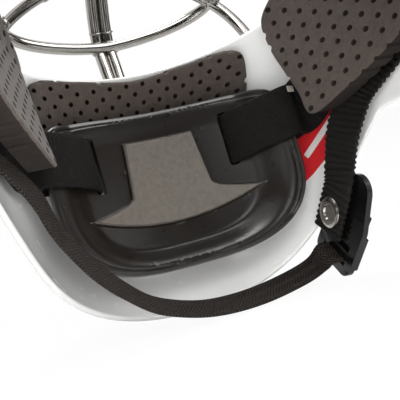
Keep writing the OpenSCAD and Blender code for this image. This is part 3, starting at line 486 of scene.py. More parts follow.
def slab(name, outline, place, t, materials, rounding=2.0, holes=(), depth=5.0, through=(),
         pitch=4.0, extra=(), top_material=None, wall_material=0):
    """Sheet foam or plate cut to a flat outline and laid in place(point, height).

    holes are centres of blind punched holes and through is a list of outlines cut right
    through. top_material picks a material for each face of the top by its flat middle point.
    """
    outline = even(anticlockwise(np.asarray(outline, float)), EDGE_STEP)
    holes = np.asarray(holes, float).reshape(-1, 2)
    if len(holes):
        gap = edge_gap(holes, outline) * np.where(inside(holes, outline), 1, -1)
        # A hole that the cut edge runs through leaves a groove in the edge
        for c in holes[np.abs(gap) <= HOLE_R + KEEP]:
            d = np.linalg.norm(outline - c, axis=1)
            hit = d < GROOVE_R
            inward = shrink(outline, 1.0)[hit] - outline[hit]
            outline[hit] += inward * np.sqrt(np.maximum(GROOVE_R**2 - d[hit] ** 2, 0))[:, None]
        holes = holes[gap > HOLE_R + KEEP]

    def height(d):
        d = np.minimum(d, rounding)
        return t - rounding + np.sqrt(np.maximum(rounding**2 - (rounding - d) ** 2, 0))

    mouth = HOLE_R + MOUTH
    rings = [arc(c, mouth, np.arange(HOLE_SIDES) * 360 / HOLE_SIDES) for c in holes]
    rings += [anticlockwise(np.asarray(h, float)) for h in through]
    fill = np.concatenate([hexagons(outline, pitch), np.reshape(extra, (-1, 2))])
    fill = within(fill, outline, rounding + RIM_FREE)
    fill = np.concatenate([*(shrink(outline, rounding * s) for s in RIM_STEPS), fill])
    # No points where a hole or opening comes, nor close round it
    for ring in rings:
        c = ring.mean(0)
        reach = np.linalg.norm(ring - c, axis=1).max() + HOLE_FREE
        near = np.linalg.norm(fill - c, axis=1) < reach
        near[near] = inside(fill[near], scaled(ring, HOLE_GROW))
        fill = fill[~near]
    flat, faces, index = triangles(outline, rings, fill)
    n = len(outline)
    gap = edge_gap(flat, outline)
    gap[index[:n]] = 0
    verts = [place(flat, height(gap))]
    all_faces = faces.tolist()
    which = list(top_material(flat[faces].mean(1))) if top_material else [0] * len(faces)
    count = len(flat)

    def walls(ids, loop, levels):
        """Walls down from a ring of points; returns the last ring."""
        nonlocal count
        k = len(loop)
        for scale, h in levels:
            p = scaled(loop, scale) if scale != 1 else loop
            verts.append(place(p, np.broadcast_to(h, k)))
            new = np.arange(count, count + k)
            count += k
            all_faces.extend([ids[i], new[i], new[(i + 1) % k], ids[(i + 1) % k]]
                             for i in range(k))
            ids = new
        return ids

    top = height(np.zeros(1))[0]
    cut = [(walls(index[:n], outline, [(1, top * 0.66), (1, top * 0.33), (1, 0.0)]), outline)]
    at = n
    for number, ring in enumerate(rings):
        ids = index[at:at + len(ring)][::-1]
        at += len(ring)
        if number < len(holes):
            end = walls(ids, ring[::-1], [(HOLE_R / mouth, t - LIP), (HOLE_R / mouth, t - depth)])
            all_faces.append(end[::-1].tolist())
        else:
            # Lip, straight wall and lip again
            end = walls(ids, ring[::-1], [(CUT_IN, t - CUT_LIP), (CUT_IN, CUT_LIP), (1, 0.0)])
            cut.append((end[::-1], ring))
    # Underside
    back = within(hexagons(outline, pitch * BACK_PITCH), outline, pitch / 2)
    for _, ring in cut[1:]:
        back = back[~inside(back, scaled(ring, BACK_GROW))]
    flat, faces, index = triangles(outline, [ring for _, ring in cut[1:]], back)
    ids = np.full(len(flat), -1)
    at = 0
    for known, loop in cut:
        ids[index[at:at + len(loop)]] = known
        at += len(loop)
    free = np.where(ids < 0)[0]
    ids[free] = np.arange(count, count + len(free))
    verts.append(place(flat[free], np.zeros(len(free))))
    all_faces += ids[faces][:, ::-1].tolist()
    which += [wall_material] * (len(all_faces) - len(which))
    return make_piece(name, np.concatenate(verts), all_faces, materials, crease=40,
                      face_material=which)


# Finishes
def colour(text):
    """An sRGB hex value as linear light."""
    s = np.array([int(text[i:i + 2], 16) for i in (1, 3, 5)]) / 255
    return (*np.where(s <= 0.04045, s / 12.92, ((s + 0.055) / 1.055) ** 2.4), 1.0)


def add(tree, kind, sockets=None, **settings):
    """A shader node with its settings, socket values and links."""
    n = tree.nodes.new("ShaderNode" + kind)
    for k, v in settings.items():
        setattr(n, k, v)
    for k, v in (sockets or {}).items():
        if isinstance(v, bpy.types.NodeSocket):
            tree.links.new(v, n.inputs[k])
        else:
            n.inputs[k].default_value = v
    return n


def per_mm(size):
    """Texture scale for a pattern of that size in millimetres, on coordinates in metres."""
    return 1000.0 / size


def calc(tree, operation, *values):
    return add(tree, "Math", dict(enumerate(values)), operation=operation).outputs[0]


def mix_tones(tree, share, a, b):
    return add(tree, "Mix", {0: share, 6: a, 7: b}, data_type="RGBA").outputs[2]


# Noise between these runs over a whole roughness range; heights of a weave's painted valley shade,
# a pit's depth
NOISE_FROM, NOISE_TO, VALLEY_SHADE_FROM, VALLEY_SHADE_TO, PIT = 0.3, 0.7, -0.9, 0.5, 0.22


def new_material(name):
    mat = bpy.data.materials.new(name)
    mat.use_nodes = True
    return mat, mat.node_tree, mat.node_tree.nodes["Principled BSDF"]


def finish(name, tone, tone_b, patch_mm, rough, rough_mm, grain_mm=None, grain_depth=0.0,
           height=None, height_depth=0.0, valley_shade=None, **sockets):
    """A material whose colour, roughness and bump vary over the surface at real sizes; a valley
    colour, if given, is painted shade in the bump's low parts.
    """
    mat, tree, shader = new_material(name)
    where = add(tree, "TexCoord").outputs["Object"]

    def noise(size, detail, **more):
        return add(tree, "TexNoise", {"Vector": where, "Scale": per_mm(size), "Detail": detail,
                                      **more}).outputs[0]

    def bump(level, depth, **under):
        return add(tree, "Bump", {"Height": level, "Distance": depth / 1000, "Strength": 1.0,
                                  **under}).outputs[0]

    mixed = mix_tones(tree, noise(patch_mm, 3.0, Roughness=0.55), colour(tone), colour(tone_b))
    spread = add(tree, "MapRange", {"Value": noise(rough_mm, 4.0), "From Min": NOISE_FROM,
                                    "From Max": NOISE_TO, "To Min": rough[0],
                                    "To Max": rough[1]})
    tree.links.new(spread.outputs[0], shader.inputs["Roughness"])
    under = {"Normal": bump(noise(grain_mm, 2.0), grain_depth)} if grain_mm else {}
    if height:
        level = height(tree)
        under = {"Normal": bump(level, height_depth, **under)}
        if valley_shade:
            # Painted shade: the bump's low parts are mixed towards the dark valley colour
            low = add(tree, "MapRange", {"Value": level, "From Min": VALLEY_SHADE_FROM,
                                         "From Max": VALLEY_SHADE_TO})
            mixed = mix_tones(tree, low.outputs[0], colour(valley_shade), mixed)
    tree.links.new(mixed, shader.inputs["Base Color"])
    tree.links.new(under["Normal"], shader.inputs["Normal"])
    for k, v in sockets.items():
        shader.inputs[k.replace("_", " ")].default_value = v
    return mat


def band_ways(tree):
    """Millimetres across and along a band."""
    return add(tree, "SeparateXYZ", {0: add(tree, "TexCoord").outputs["UV"]}).outputs[:2]


def ribs(tree, way, pitch):
    return calc(tree, "SINE", calc(tree, "MULTIPLY", way, 2 * math.pi / pitch))


def herringbone(pitch, zig):
    """Height of a twill whose lines turn back every zig millimetres across the webbing."""
    def build(tree):
        across, along = band_ways(tree)
        x = calc(tree, "FRACT", calc(tree, "MULTIPLY", across, 1 / (2 * zig)))
        x = calc(tree, "ABSOLUTE", calc(tree, "SUBTRACT", x, 0.5))
        return ribs(tree, calc(tree, "MULTIPLY_ADD", x, 2 * zig, along), pitch)
    return build


def knit(*pitches):
    """Height of a knitted or plain weave, its ribs that far apart across and along the band."""
    def build(tree):
        return calc(tree, "MULTIPLY", *(ribs(tree, way, pitch)
                                        for way, pitch in zip(band_ways(tree), pitches)))
    return build


def pores(size):
    """Height with small pits a few millimetres apart."""
    def build(tree):
        where = add(tree, "TexCoord").outputs["Object"]
        cell = add(tree, "TexVoronoi", {"Vector": where, "Scale": per_mm(size)}).outputs[0]
        return add(tree, "MapRange", {"Value": cell, "From Max": PIT}).outputs[0]
    return build


# Fibreglass and resin moulding under white two-part lacquer: a clear gloss with a faint ripple
LACQUER = finish("Composite_WhiteLacquer_Gloss", "#F4F4F2", "#EFEFED", 60, (0.2, 0.28), 8, 30,
                 0.08, IOR=1.5, Coat_Weight=0.5, Coat_Roughness=0.08)
# Injection moulded polyethylene plate, dyed white: a waxy satin
PLATE = finish("Polyethylene_White_Moulded", "#E9E9E6", "#E0E0DC", 40, (0.34, 0.42), 4, 1.2, 0.02,
               IOR=1.51)
# Stainless wire, welded and then electropolished: mirror bright with slight unevenness
WIRE = finish("Stainless_Wire_Electropolished", "#B4B1AC", "#A19E99", 8, (0.1, 0.17), 3, 5, 0.02,
              Metallic=1.0)
# Weld beads, polished with the wire but duller where the heat grained the metal
WELD = finish("Stainless_Weld_Polished", "#A5A29D", "#8D8A85", 2, (0.2, 0.34), 1, 1.0, 0.08,
              Metallic=1.0)
# Pressed stainless strip: satin from tumbling
CLIP = finish("Stainless_Strip_Tumbled", "#B0AEAB", "#A09E9A", 6, (0.26, 0.36), 1.5, 0.8, 0.01,
              Metallic=1.0)
# Zinc-plated steel screws, washers and T nuts
ZINC = finish("Steel_ZincPlated", "#C4C6C8", "#B0B2B4", 3, (0.26, 0.38), 1, 0.7, 0.01,
              Metallic=1.0)
# Nickel-plated brass snap: a warm bright metal
NICKEL = finish("Brass_NickelPlated", "#D9D5CE", "#C8C3BB", 4, (0.14, 0.24), 1.5, 2, 0.01,
                Metallic=1.0)
# Cross-linked EVA sheet, skived and punched: matt, leathery, with a dry bloom
FOAM = finish("EVA_Foam_Sheet_Charcoal", "#4F4640", "#3A322D", 4, (0.72, 0.86), 2, 1.1, 0.22,
              IOR=1.45, Sheen_Weight=0.12, Sheen_Roughness=0.5)
# The same foam, cut by knife or punch: open cells, darkened further as painted shade in the holes
FOAM_CUT_AND_HOLE_SHADE = finish("EVA_Foam_CutEdge_PaintedHoleShade", "#2C2724", "#1E1A18", 3, (0.8, 0.92), 1, 0.8, 0.2,
                  IOR=1.45, Specular_IOR_Level=0.2)
# Denser black foam behind the cheek pads
BACKING = finish("EVA_Foam_Black_Dense", "#2C2A29", "#232120", 8, (0.7, 0.85), 2, 0.9, 0.1,
                 IOR=1.45, Specular_IOR_Level=0.2)
# Terry towelling sweatband
TERRY = finish("Cotton_Terry_Black", "#2A2928", "#1F1E1D", 3, (0.85, 0.95), 1, 1.0, 0.5,
               IOR=1.47, Sheen_Weight=0.3, Sheen_Roughness=0.4)
# Cup: EVA moulded hot in a polished tool, so satin, with small pits from trapped air
CUP = finish("EVA_Foam_HotMoulded_Satin", "#1C1816", "#15120F", 14, (0.27, 0.34), 8, 2.2, 0.012,
             pores(5.5), 0.12, IOR=1.48, Coat_Weight=0.25, Coat_Roughness=0.3)
# The cup's raised field, grained by blasting that part of the tool
CUP_GRAINED = finish("EVA_Foam_HotMoulded_Grained", "#69635C", "#4C4640", 2.6, (0.45, 0.72),
                     1.2, 1.3, 0.4, IOR=1.48)
# Woven elastic: rubber threads under black polyester
ELASTIC = finish("Elastic_Polyester_Black_Woven", "#141211", "#0D0C0B", 4, (0.7, 0.85), 1,
                 height=knit(1.1, 1.6), height_depth=0.12, IOR=1.53, Specular_IOR_Level=0.2)
# Polyester herringbone twill webbing, drawn as coarse as it shows; painted shade in its valleys
TWILL = finish("Polyester_Webbing_Herringbone", "#3F3732", "#2C2622", 4, (0.62, 0.78), 1,
               height=herringbone(1.7, 3.0), height_depth=0.4, valley_shade="#060505", IOR=1.53,
               Specular_IOR_Level=0.25)
# Thicker polyester webbing, woven with ribs across it
RIBBED = finish("Polyester_Webbing_Ribbed", "#1A1715", "#100E0D", 4, (0.62, 0.78), 1,
                height=knit(1.2, 0.8), height_depth=0.1, IOR=1.53, Specular_IOR_Level=0.3)
# Acetal buckles and sliders: black, glossy from the tool
ACETAL = finish("Acetal_Black_Moulded", "#0D0C0C", "#080808", 10, (0.1, 0.18), 2, 2.5, 0.03,
                IOR=1.48)
# Vinyl sheet, matt from the roller: the patch, and the plain bar on it
VINYL_RED = finish("Vinyl_Red_Matt", "#D8282E", "#CC242A", 8, (0.42, 0.52), 2, 1.0, 0.01, IOR=1.5)
VINYL_WHITE = finish("Vinyl_White_Matt", "#E6E2DE", "#DCD8D4", 8, (0.42, 0.52), 2, 1.0, 0.01,
                     IOR=1.5)
# Polyester ribbon, woven flat: the small tag sewn to the elastic
TAG = finish("Polyester_Tag_Woven", "#C9BFB4", "#B5ABA0", 1.5, (0.7, 0.8), 1,
             height=knit(0.5, 0.5), height_depth=0.05, IOR=1.53)


# Shell
RIM_R, RIM_TURNS = WALL / 2, range(18, 180, 18)
AROUND, ACROSS = 288, 46


def shell_rows():
    t = np.arange(AROUND) * 360 / AROUND

    def at(s, inset=0.0):
        return on_shell(edge_dir(t, s), inset)

    # Millimetres to one unit of s at the opening and at the outer edge
    near, far = (np.linalg.norm(at(s + 0.01) - at(s), axis=1) / 0.01 for s in (0.0, 0.99))
    start, stop = RIM_R / near, 1 - RIM_R / far
    steps = np.linspace(0, 1, ACROSS)
    return np.array(
        [at(mix(start, stop, k)) for k in steps]
        + [at(stop + RIM_R * sind(g) / far, RIM_R * (1 - cosd(g))) for g in RIM_TURNS]
        + [at(mix(stop, start, k), WALL) for k in steps]
        + [at(start - RIM_R * sind(g) / near, RIM_R * (1 + cosd(g))) for g in RIM_TURNS])


def on_ground(piece):
    """The foot of a standing piece is flat where it meets the ground."""
    for v in piece.data.vertices:
        v.co.z = max(v.co.z, 0.0)


def build_shell():
    piece = skin("shell_moulding", [shell_rows()], LACQUER, crease=60, along=True)
    on_ground(piece)
    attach(piece, "root")
    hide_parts("shell")


# Cage: the perimeter wire runs this much outside the window
WIN_GROW = 1.07
ROD_X, ROD_GAP = WIRE_R + 0.05, 1.4
ROD_Y = HEAD[1] - 182.0
INNER_Y = ROD_Y + 2 * WIRE_R
U_BAR_Z, ARCH_Z, BROW_Z, BROW_BACK = 110.6, 149.0, 214.0, 22
# Turns round the window at which bars end on the perimeter wire, and shares of the arch bar or
# brow bar at which the other bars start
ARCH_END, BROW_END, CHEEK_END, UPPER_END = -56.0, 24.0, -2.0, 75.0
U_START, CHEEK_START, UPPER_START = 0.6, 0.3, 0.3


def perimeter_point(t):
    return on_shell(window_dir(t, WIN_GROW), -WIRE_R - WIRE_GAP)


def bar_point(end, mid_y, mid_z, flat, drop, s):
    """A crossing bar's half from its middle, s = 0, to its end, s = 1.

    flat keeps its middle flat seen from above, and drop seen from the front.
    """
    s = np.asarray(s, float)
    return points(end[0] * sind(90 * s), mix(end[1], mid_y, cosd(90 * s) ** flat),
                  mix(mid_z, end[2], s**drop))


def arch_point(s):
    return bar_point(perimeter_point(ARCH_END), INNER_Y, ARCH_Z, 0.68, 1.35, s)


def u_point(s):
    e = arch_point(U_START) + [0, 2 * WIRE_R - 0.4, 0]
    return bar_point([e[0] * 1.04, e[1], e[2] + 2], INNER_Y, U_BAR_Z, 0.7, 1.6, s)


def brow_point(s):
    return bar_point(perimeter_point(BROW_END), INNER_Y + BROW_BACK, BROW_Z, 0.8, 2, s)


def full_bar(half):
    return np.concatenate([(half * [-1, 1, 1])[::-1], half[1:]])


def rod_path(x, steps=12):
    """A middle rod from below the chin over the mouth and nose to the brow."""
    out = -WIRE_R - ROD_GAP
    return spline([front_point(x, -29.0, out), front_point(x, -24.0, out),
                   [x, ROD_Y + 12, U_BAR_Z - 11], [x, ROD_Y + 2, U_BAR_Z + 3],
                   [x, ROD_Y - 1, U_BAR_Z + 24], [x, ROD_Y, ARCH_Z + 16],
                   [x, ROD_Y + 14, BROW_Z - 17], front_point(x, 38.0, -WIRE_R - 9),
                   front_point(x, 44.0, out), front_point(x, 50.0, out)], steps)


def side_bar(side, a, b, bow, steps):
    return spline([a, (a + b) / 2 + bow, b], steps) * [side, 1, 1]


def cheek_bar(side):
    return side_bar(side, arch_point(CHEEK_START), perimeter_point(CHEEK_END), [6, -9, 0], 14)


def upper_bar(side):
    return side_bar(side, brow_point(UPPER_START), perimeter_point(UPPER_END), [0, -5, 4], 12)


# Half axes of the weld beads: where a bar crosses the rods, between the rods, at bars' ends
CROSSING_BEAD, ROD_BEAD, END_BEAD = (2.2, 1.8, 3.4), (3.5, 3.5, 1.3), (3.6, 3.6, 3.6)
ROD_BEAD_Z = 117.5


def build_cage():
    s = np.linspace(0, 1, 40)
    u_bar, arch_bar, brow_bar = (full_bar(way(s)) for way in (u_point, arch_point, brow_point))
    wires = {
        "cage_perimeter_wire": [perimeter_point(np.arange(240) * 1.5)],
        "cage_centre_rods": [rod_path(x) for x in (-ROD_X, ROD_X)],
        "cage_u_bar": [u_bar],
        "cage_arch_bar": [arch_bar],
        "cage_brow_bar": [brow_bar],
        "cage_cheek_bars": [cheek_bar(k) for k in (-1, 1)],
        "cage_upper_bars": [upper_bar(k) for k in (-1, 1)],
    }
    for name, paths in wires.items():
        closed = name == "cage_perimeter_wire"
        piece = skin(name.replace("cage_", "wire_"), [tube_rows(p, closed) for p in paths], WIRE,
                     crease=70, along=closed)
        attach(piece, "root")
        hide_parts(name)
    beads = []
    rods = rod_path(0.0, 40)
    for bar in (u_bar, arch_bar, brow_bar):
        gap = np.linalg.norm(rods[:, None] - bar[None], axis=2)
        i, j = np.unravel_index(gap.argmin(), gap.shape)
        c = (rods[i] + bar[j]) / 2
        beads += [(c + [x * ROD_X * 1.9, 0, 0], CROSSING_BEAD) for x in (-1, 1)]
    c = rods[np.abs(rods[:, 2] - ROD_BEAD_Z)[: len(rods) // 2].argmin()]
    beads += [(c + [x * ROD_X, 0, 0], ROD_BEAD) for x in (-1, 1)]
    ends = [arch_point(1.0), brow_point(1.0), cheek_bar(1)[-1], upper_bar(1)[-1],
            cheek_bar(1)[0], upper_bar(1)[0], u_point(1.0)]
    beads += [(p * [x, 1, 1], END_BEAD) for p in ends for x in (-1, 1)]
    piece = skin("cage_weld_beads", [bead_rows(c, half, k) for k, (c, half) in enumerate(beads)],
                 WELD, crease=80)
    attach(piece, "root")


# Foam lining
def punched(outline, turn=0.0, shift=(0.0, 0.0), pitch=HOLE_PITCH, row=HOLE_ROW):
    """Centres of the punch pattern, a diamond lattice, over an outline's box."""
    lo, hi = outline.min(0), outline.max(0)
    reach = int(max(hi - lo) / row) + 4
    c, s = cosd(turn), sind(turn)
    grid = [[(i + 0.5 * (j % 2)) * pitch, j * row] for j in range(-reach, reach + 1)
            for i in range(-reach, reach + 1)]
    p = np.array(grid) @ np.array([[c, s], [-s, c]]) + ((lo + hi) / 2 + shift)
    return p[((p > lo) & (p < hi)).all(1)]


def mirrored(half):
    half = np.asarray(half, float)
    return np.concatenate([half, (half[1:-1] * [-1, 1])[::-1]])


def on_arc(half, mm_per_deg, inset):
    """A front or crown pad's outline, in x and degrees round the ears' line, and its place."""
    return (loop_spline(mirrored(half), 10) * [1, mm_per_deg],
            lambda p, h: front_point(p[:, 0], p[:, 1] / mm_per_deg, inset + h))


CHIN_PAD = [[0, -34], [40, -33], [63, -29], [64, -21], [57, -17], [34, -18], [0, -19.5]]
FOREHEAD = [[0, 39], [30, 38.5], [58, 39], [64, 45], [58, 58], [28, 64], [0, 65]]
BAND = [[0, 41], [26, 40.5], [50, 41], [55, 45], [50, 49], [26, 50], [0, 50.5]]
CROWN = [[0, 68], [30, 68.5], [48, 74], [50, 82], [40, 89], [0, 92]]
TEMPLE = [[-52, 200], [-30, 197], [0, 198], [22, 206], [20, 222], [0, 234], [-28, 236],
          [-50, 222]]
CHEEK = [[-66, 88], [-77, 96], [-89, 104], [-101, 113], [-109, 124], [-106, 138], [-95, 162],
         [-76, 182], [-50, 190], [-26, 184], [-16, 166], [-22, 148], [-33, 132], [-43, 116],
         [-54, 101]]
CHEEK_BACK = [[-90, 155], [-76, 145], [-56, 142], [-40, 150], [-34, 166], [-50, 178],
              [-76, 172]]


# A cheek pad's inner face: its half distance at a point, how fast it widens backwards and up, the
# room left to the shell, and how softly it turns from its own plane to the shell's form
FACE_X, FACE_AT, FACE_SLOPE, FACE_ROOM, FACE_SOFT = 62, (-66, 88), (0.3, 0.4), 2.5, 5


def wall_x(p, inset):
    return side_x(p[:, 0], p[:, 1], inset)


def cheek_face(p):
    a = (FACE_X + FACE_SLOPE[1] * (p[:, 1] - FACE_AT[1]) + FACE_SLOPE[0] * (p[:, 0] - FACE_AT[0]))
    b = wall_x(p, INNER) - FOAM_T - FACE_ROOM
    return (a + b - np.sqrt((a - b) ** 2 + FACE_SOFT**2)) / 2


def beside(side, x):
    """Lays a flat point (y, z) at the distance x(point, height) on one side of the head."""
    return lambda p, h: points(side * x(p, h), p[:, 0], p[:, 1])


# Punch pattern of the cheek pads
PUNCH_MID, PUNCH_TURN, PUNCH_PITCH, PUNCH_ROW = (-98, 131), 3.0, 8.3, 6.0
BACKING_T, BAND_T = 4.0, 4.0


def build_lining():
    pads = []
    for name, node, half, mm_per_deg, t in (
            ("chin_foam_punched", "chin_front_pad", CHIN_PAD, 2.97, CHIN_FOAM_T),
            ("forehead_foam_punched", "forehead_pad", FOREHEAD, 2.3, FOAM_T),
            ("crown_foam_punched", "crown_pad", CROWN, 2.6, FOAM_T)):
        outline, place = on_arc(half, mm_per_deg, INNER)
        pads.append((name, node, outline, place, t, FOAM, 2.0, punched(outline), 5.0))
    pads.append(("sweatband_terry", "sweatband", *on_arc(BAND, 2.1, INNER + FOAM_T + 0.7), BAND_T,
                 TERRY, 1.8, (), 0))
    cheek, cheek_back, temple = (loop_spline(p, 8) for p in (CHEEK, CHEEK_BACK, TEMPLE))
    shift = np.array(PUNCH_MID) - (cheek.min(0) + cheek.max(0)) / 2
    for side, word in SIDES:
        pads.append((f"cheek_foam_{word}", f"cheek_pad_{word}", cheek,
                     beside(side, lambda p, h: cheek_face(p) + FOAM_T - h), FOAM_T, FOAM, 1.2,
                     punched(cheek, PUNCH_TURN, shift, PUNCH_PITCH, PUNCH_ROW), 7.0))
        # The block fills what lies between the shell and the pad
        pads.append((f"cheek_backing_block_{word}", f"cheek_backing_{word}", cheek_back,
                     beside(side, lambda p, h: mix(wall_x(p, INNER),
                                                   cheek_face(p) + FOAM_T + TOUCH,
                                                   np.clip(h / BACKING_T, 0, 1))),
                     BACKING_T, BACKING, 0.6, (), 0))
    for side, word in SIDES:
        pads.append((f"temple_foam_{word}", "temple_pads", temple,
                     beside(side, lambda p, h: wall_x(p, INNER + h)), FOAM_T, FOAM, 2.0,
                     punched(temple), 5.0))
    for name, node, outline, place, t, look, rounding, holes, depth in pads:
        # Cut faces, hole walls and hole floors take the darker foam, partly painted shade for the
        # holes
        looks = [FOAM, FOAM_CUT_AND_HOLE_SHADE] if look == FOAM else [look]
        piece = slab(name, outline, place, t, looks, rounding, holes, depth,
                     wall_material=len(looks) - 1)
        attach(piece, "root")
        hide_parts(node)


# Chin cup, in its own frame: u across, v up the face, height out of the opening
CUP_Y, CUP_Z, CUP_LEAN = -84.3, 62.0, 32.5
CUP_HALF, CUP_UP, CUP_DOWN, CUP_DEPTH, CUP_WALL = 62.5, 38.0, 40.0, 12.0, 5.0
# How square the outline's corners are (across, up), above and below the middle
ABOVE, BELOW = (4.6, 7.0), (3.2, 2.6)
CUP_BEND, FLOOR_BEND, RELIEF_H = 0.0029, 0.0045, 2.8
# The lip rises over this share of the way out, and its two grooves: how far out, deep and wide
LIP_FROM, LIP_OVER = 0.68, 0.24
LIP_GROOVES = ((0.935, 0.55, 0.55), (0.972, 0.65, 0.5))
# The lip is low in the upper middle, above LOW_FROM and within LOW_HALF, and rises softly beside
LOW_FROM, LOW_HALF, LOW_RISE, RELIEF_EDGE = (12, 18), (42, 12), 1.5, 1.6
SLOT_U, SLOT_V, SLOT_W, SLOT_R, ELASTIC_W = 35.0, 16.0, 4.8, 1.2, 25.0


def from_cup(p):
    p = np.asarray(p, float)
    c, s = cosd(CUP_LEAN), sind(CUP_LEAN)
    return points(p[..., 0], CUP_Y + p[..., 1] * c - p[..., 2] * s,
                  CUP_Z + p[..., 1] * s + p[..., 2] * c)


def cup_outline(k=1.0, n=240):
    t = np.arange(n) * 360 / n
    up = sind(t) > 0
    v = np.where(up, CUP_UP * spow(sind(t), 2 / ABOVE[1]), CUP_DOWN * spow(sind(t), 2 / BELOW[1]))
    u = CUP_HALF * np.where(up, spow(cosd(t), 2 / ABOVE[0]), spow(cosd(t), 2 / BELOW[0]))
    return k * np.stack([u, v], 1)


def cup_share(p):
    """How far out a point lies, from 0 in the middle to 1 on the cup's outline."""
    u, v = np.abs(p[:, 0]), p[:, 1]
    b = np.where(v > 0, CUP_UP, CUP_DOWN)
    f, e = (np.where(v > 0, above, below) for above, below in zip(ABOVE, BELOW))
    low, high = np.full(len(p), 1e-4), np.full(len(p), 1.4)
    for _ in range(26):
        k = (low + high) / 2
        over = (u / (CUP_HALF * k)) ** f + (np.abs(v) / (b * k)) ** e > 1
        low, high = np.where(over, k, low), np.where(over, high, k)
    return (low + high) / 2


# The raised field: its column's half width at the top and at the foot, and its arms' reach
COLUMN, FOOT_AT, ARM = 18.6, 21.5, 46.5
COLUMN_TOP, ARM_TOP, ARM_LOW, ARM_END = 25.0, -2.0, -18.0, (-9.3, -9.9)


def relief_outline():
    def upper(u):
        if u <= COLUMN:
            return COLUMN_TOP
        if u <= FOOT_AT:
            return mix(COLUMN_TOP, ARM_TOP, (u - COLUMN) / (FOOT_AT - COLUMN))
        return mix(ARM_TOP, ARM_END[0], ((u - FOOT_AT) / (ARM - FOOT_AT)) ** 0.62)

    top = [[u, upper(u)] for u in (ARM, 43, 40, 36, 32, 28, 24.5, FOOT_AT, 20.6, 19.6, COLUMN,
                                   10, 5)]
    low = [[u, mix(ARM_LOW, ARM_END[1], (u / ARM) ** 2)] for u in (0, 8, 16, 24, 30, 36, 41, 45)]
    right = np.array(low + top)
    left = (right[1:] * [-1, 1])[::-1]
    return even(anticlockwise(np.concatenate([right, [[0, COLUMN_TOP]], left])), 0.8)


RELIEF = relief_outline()


def cup_surface(p):
    k = cup_share(p)
    u, v = p[:, 0], p[:, 1]
    floor = -CUP_DEPTH + FLOOR_BEND * u * u
    rim = mix(CUP_BEND * u * u, floor + LOW_RISE, smooth((v - LOW_FROM[0]) / LOW_FROM[1])
              * (1 - smooth((np.abs(u) - LOW_HALF[0]) / LOW_HALF[1])))
    y = mix(floor, rim, smooth((k - LIP_FROM) / LIP_OVER))
    for at, deep, wide in LIP_GROOVES:
        y = y - deep * np.exp(-(((k - at) * CUP_HALF / wide) ** 2))
    d = np.where(inside(p, RELIEF), edge_gap(p, RELIEF), 0.0)
    return y + RELIEF_H * smooth(d / RELIEF_EDGE)


# Extra rings of points where the lip and the raised field's edge need them
LIP_RINGS = (0.72, 0.76, 0.8, 0.84, 0.88, 0.91, 0.925, 0.935, 0.945, 0.96, 0.966, 0.972, 0.978)
RELIEF_RINGS = (0.05, 0.45, 0.8, 1.2, 1.6)


def build_cup():
    def place(p, h):
        return from_cup(points(p[:, 0], cup_surface(p) - CUP_WALL + h, p[:, 1]))

    half, quarter = ELASTIC_W / 2 + 1, np.arange(0, 91, 30)
    slots = [even(np.concatenate(
        [arc([x + a * (SLOT_W / 2 - SLOT_R), SLOT_V + b * (half - SLOT_R)], SLOT_R, g + quarter)
         for a, b, g in ((1, 1, 0), (-1, 1, 90), (-1, -1, 180), (1, -1, 270))]), 0.9)
             for x in (-SLOT_U, SLOT_U)]
    bands = [cup_outline(k, 300) for k in LIP_RINGS]
    edges = [shrink(RELIEF, d) for d in RELIEF_RINGS]
    piece = slab("chin_cup_moulded", cup_outline(), place, CUP_WALL, [CUP, CUP_GRAINED], 1.8,
                 through=slots, pitch=1.6, extra=np.concatenate(bands + edges),
                 top_material=lambda mid: inside(mid, shrink(RELIEF, 0.7)).astype(int))
    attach(piece, "chin_cup_body")
    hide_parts("chin_cup")


# Webbing and elastic
def section(w):
    """Outline of a band's cross-section, its two edges round."""
    r = WEB_T / 2
    flat = points(np.linspace(-w / 2 + r, w / 2 - r, 11), r)
    return np.concatenate([flat, arc([w / 2 - r, 0], r, [45, 0, -45]),
                           flat[::-1] * [1, -1], arc([-w / 2 + r, 0], r, [-135, 180, 135])])


# Steps between two given points, and millimetres between the rings of a smooth band
BAND_STEPS, BAND_STEP = 12, 0.9


def band(name, path, across, w, material, pitch=0.0, rib=0.0, ruffle=0.0):
    """A flat band through given points, each with its width direction.

    Ribs cross it, pitch apart and rib high, and its edges swell with them by ruffle.
    """
    both = np.concatenate([spline(path, BAND_STEPS), spline(across, BAND_STEPS)], 1)
    s = travel(both[:, :3])
    step = pitch / 6 if pitch else BAND_STEP
    at = np.linspace(0, s[-1], int(s[-1] / step) + 1)
    both = np.stack([np.interp(at, s, both[:, i]) for i in range(6)], 1)
    p, side = both[:, :3], both[:, 3:]
    f = unit(np.gradient(p, axis=0))
    side = unit(side - (side * f).sum(1, keepdims=True) * f)
    up = np.cross(f, side)
    cut = section(w)
    wave = np.abs(np.sin(math.pi * at / pitch)) - 0.5 if pitch else 0 * at
    swell, wide = 1 + wave * rib / (WEB_T / 2), 1 + wave * ruffle / (w / 2)
    rows = (p[:, None] + cut[None, :, :1] * wide[:, None, None] * side[:, None]
            + cut[None, :, 1:] * swell[:, None, None] * up[:, None])
    return skin(name, [rows], material, crease=50)


ANCHOR_Y, ANCHOR_Z, ELASTIC_GAP = -79.0, 100.0, 1.3
CUP_UP_DIR = np.array([0, -sind(CUP_LEAN), cosd(CUP_LEAN)])
ELASTIC_OUT = [[71, 9.5, 20.5], [64, 13, 20], [57, 12.2, 19], [49, 8, 18], [41, 1.5, 17],
               [36, -5, 16], [35, -9, 16], [36, -15, 16]]
ELASTIC_BACK = [[41, -19, 16.5], [50, -15, 17.5], [60, -3, 19], [68, 3, 20]]


def on_wall(side, run, depth, way):
    """Points at a depth in the wall, and the width direction at each."""
    return ([wall_point(side, y, z, depth) for y, z in run],
            [in_wall(side, y, z, way) for y, z in run])


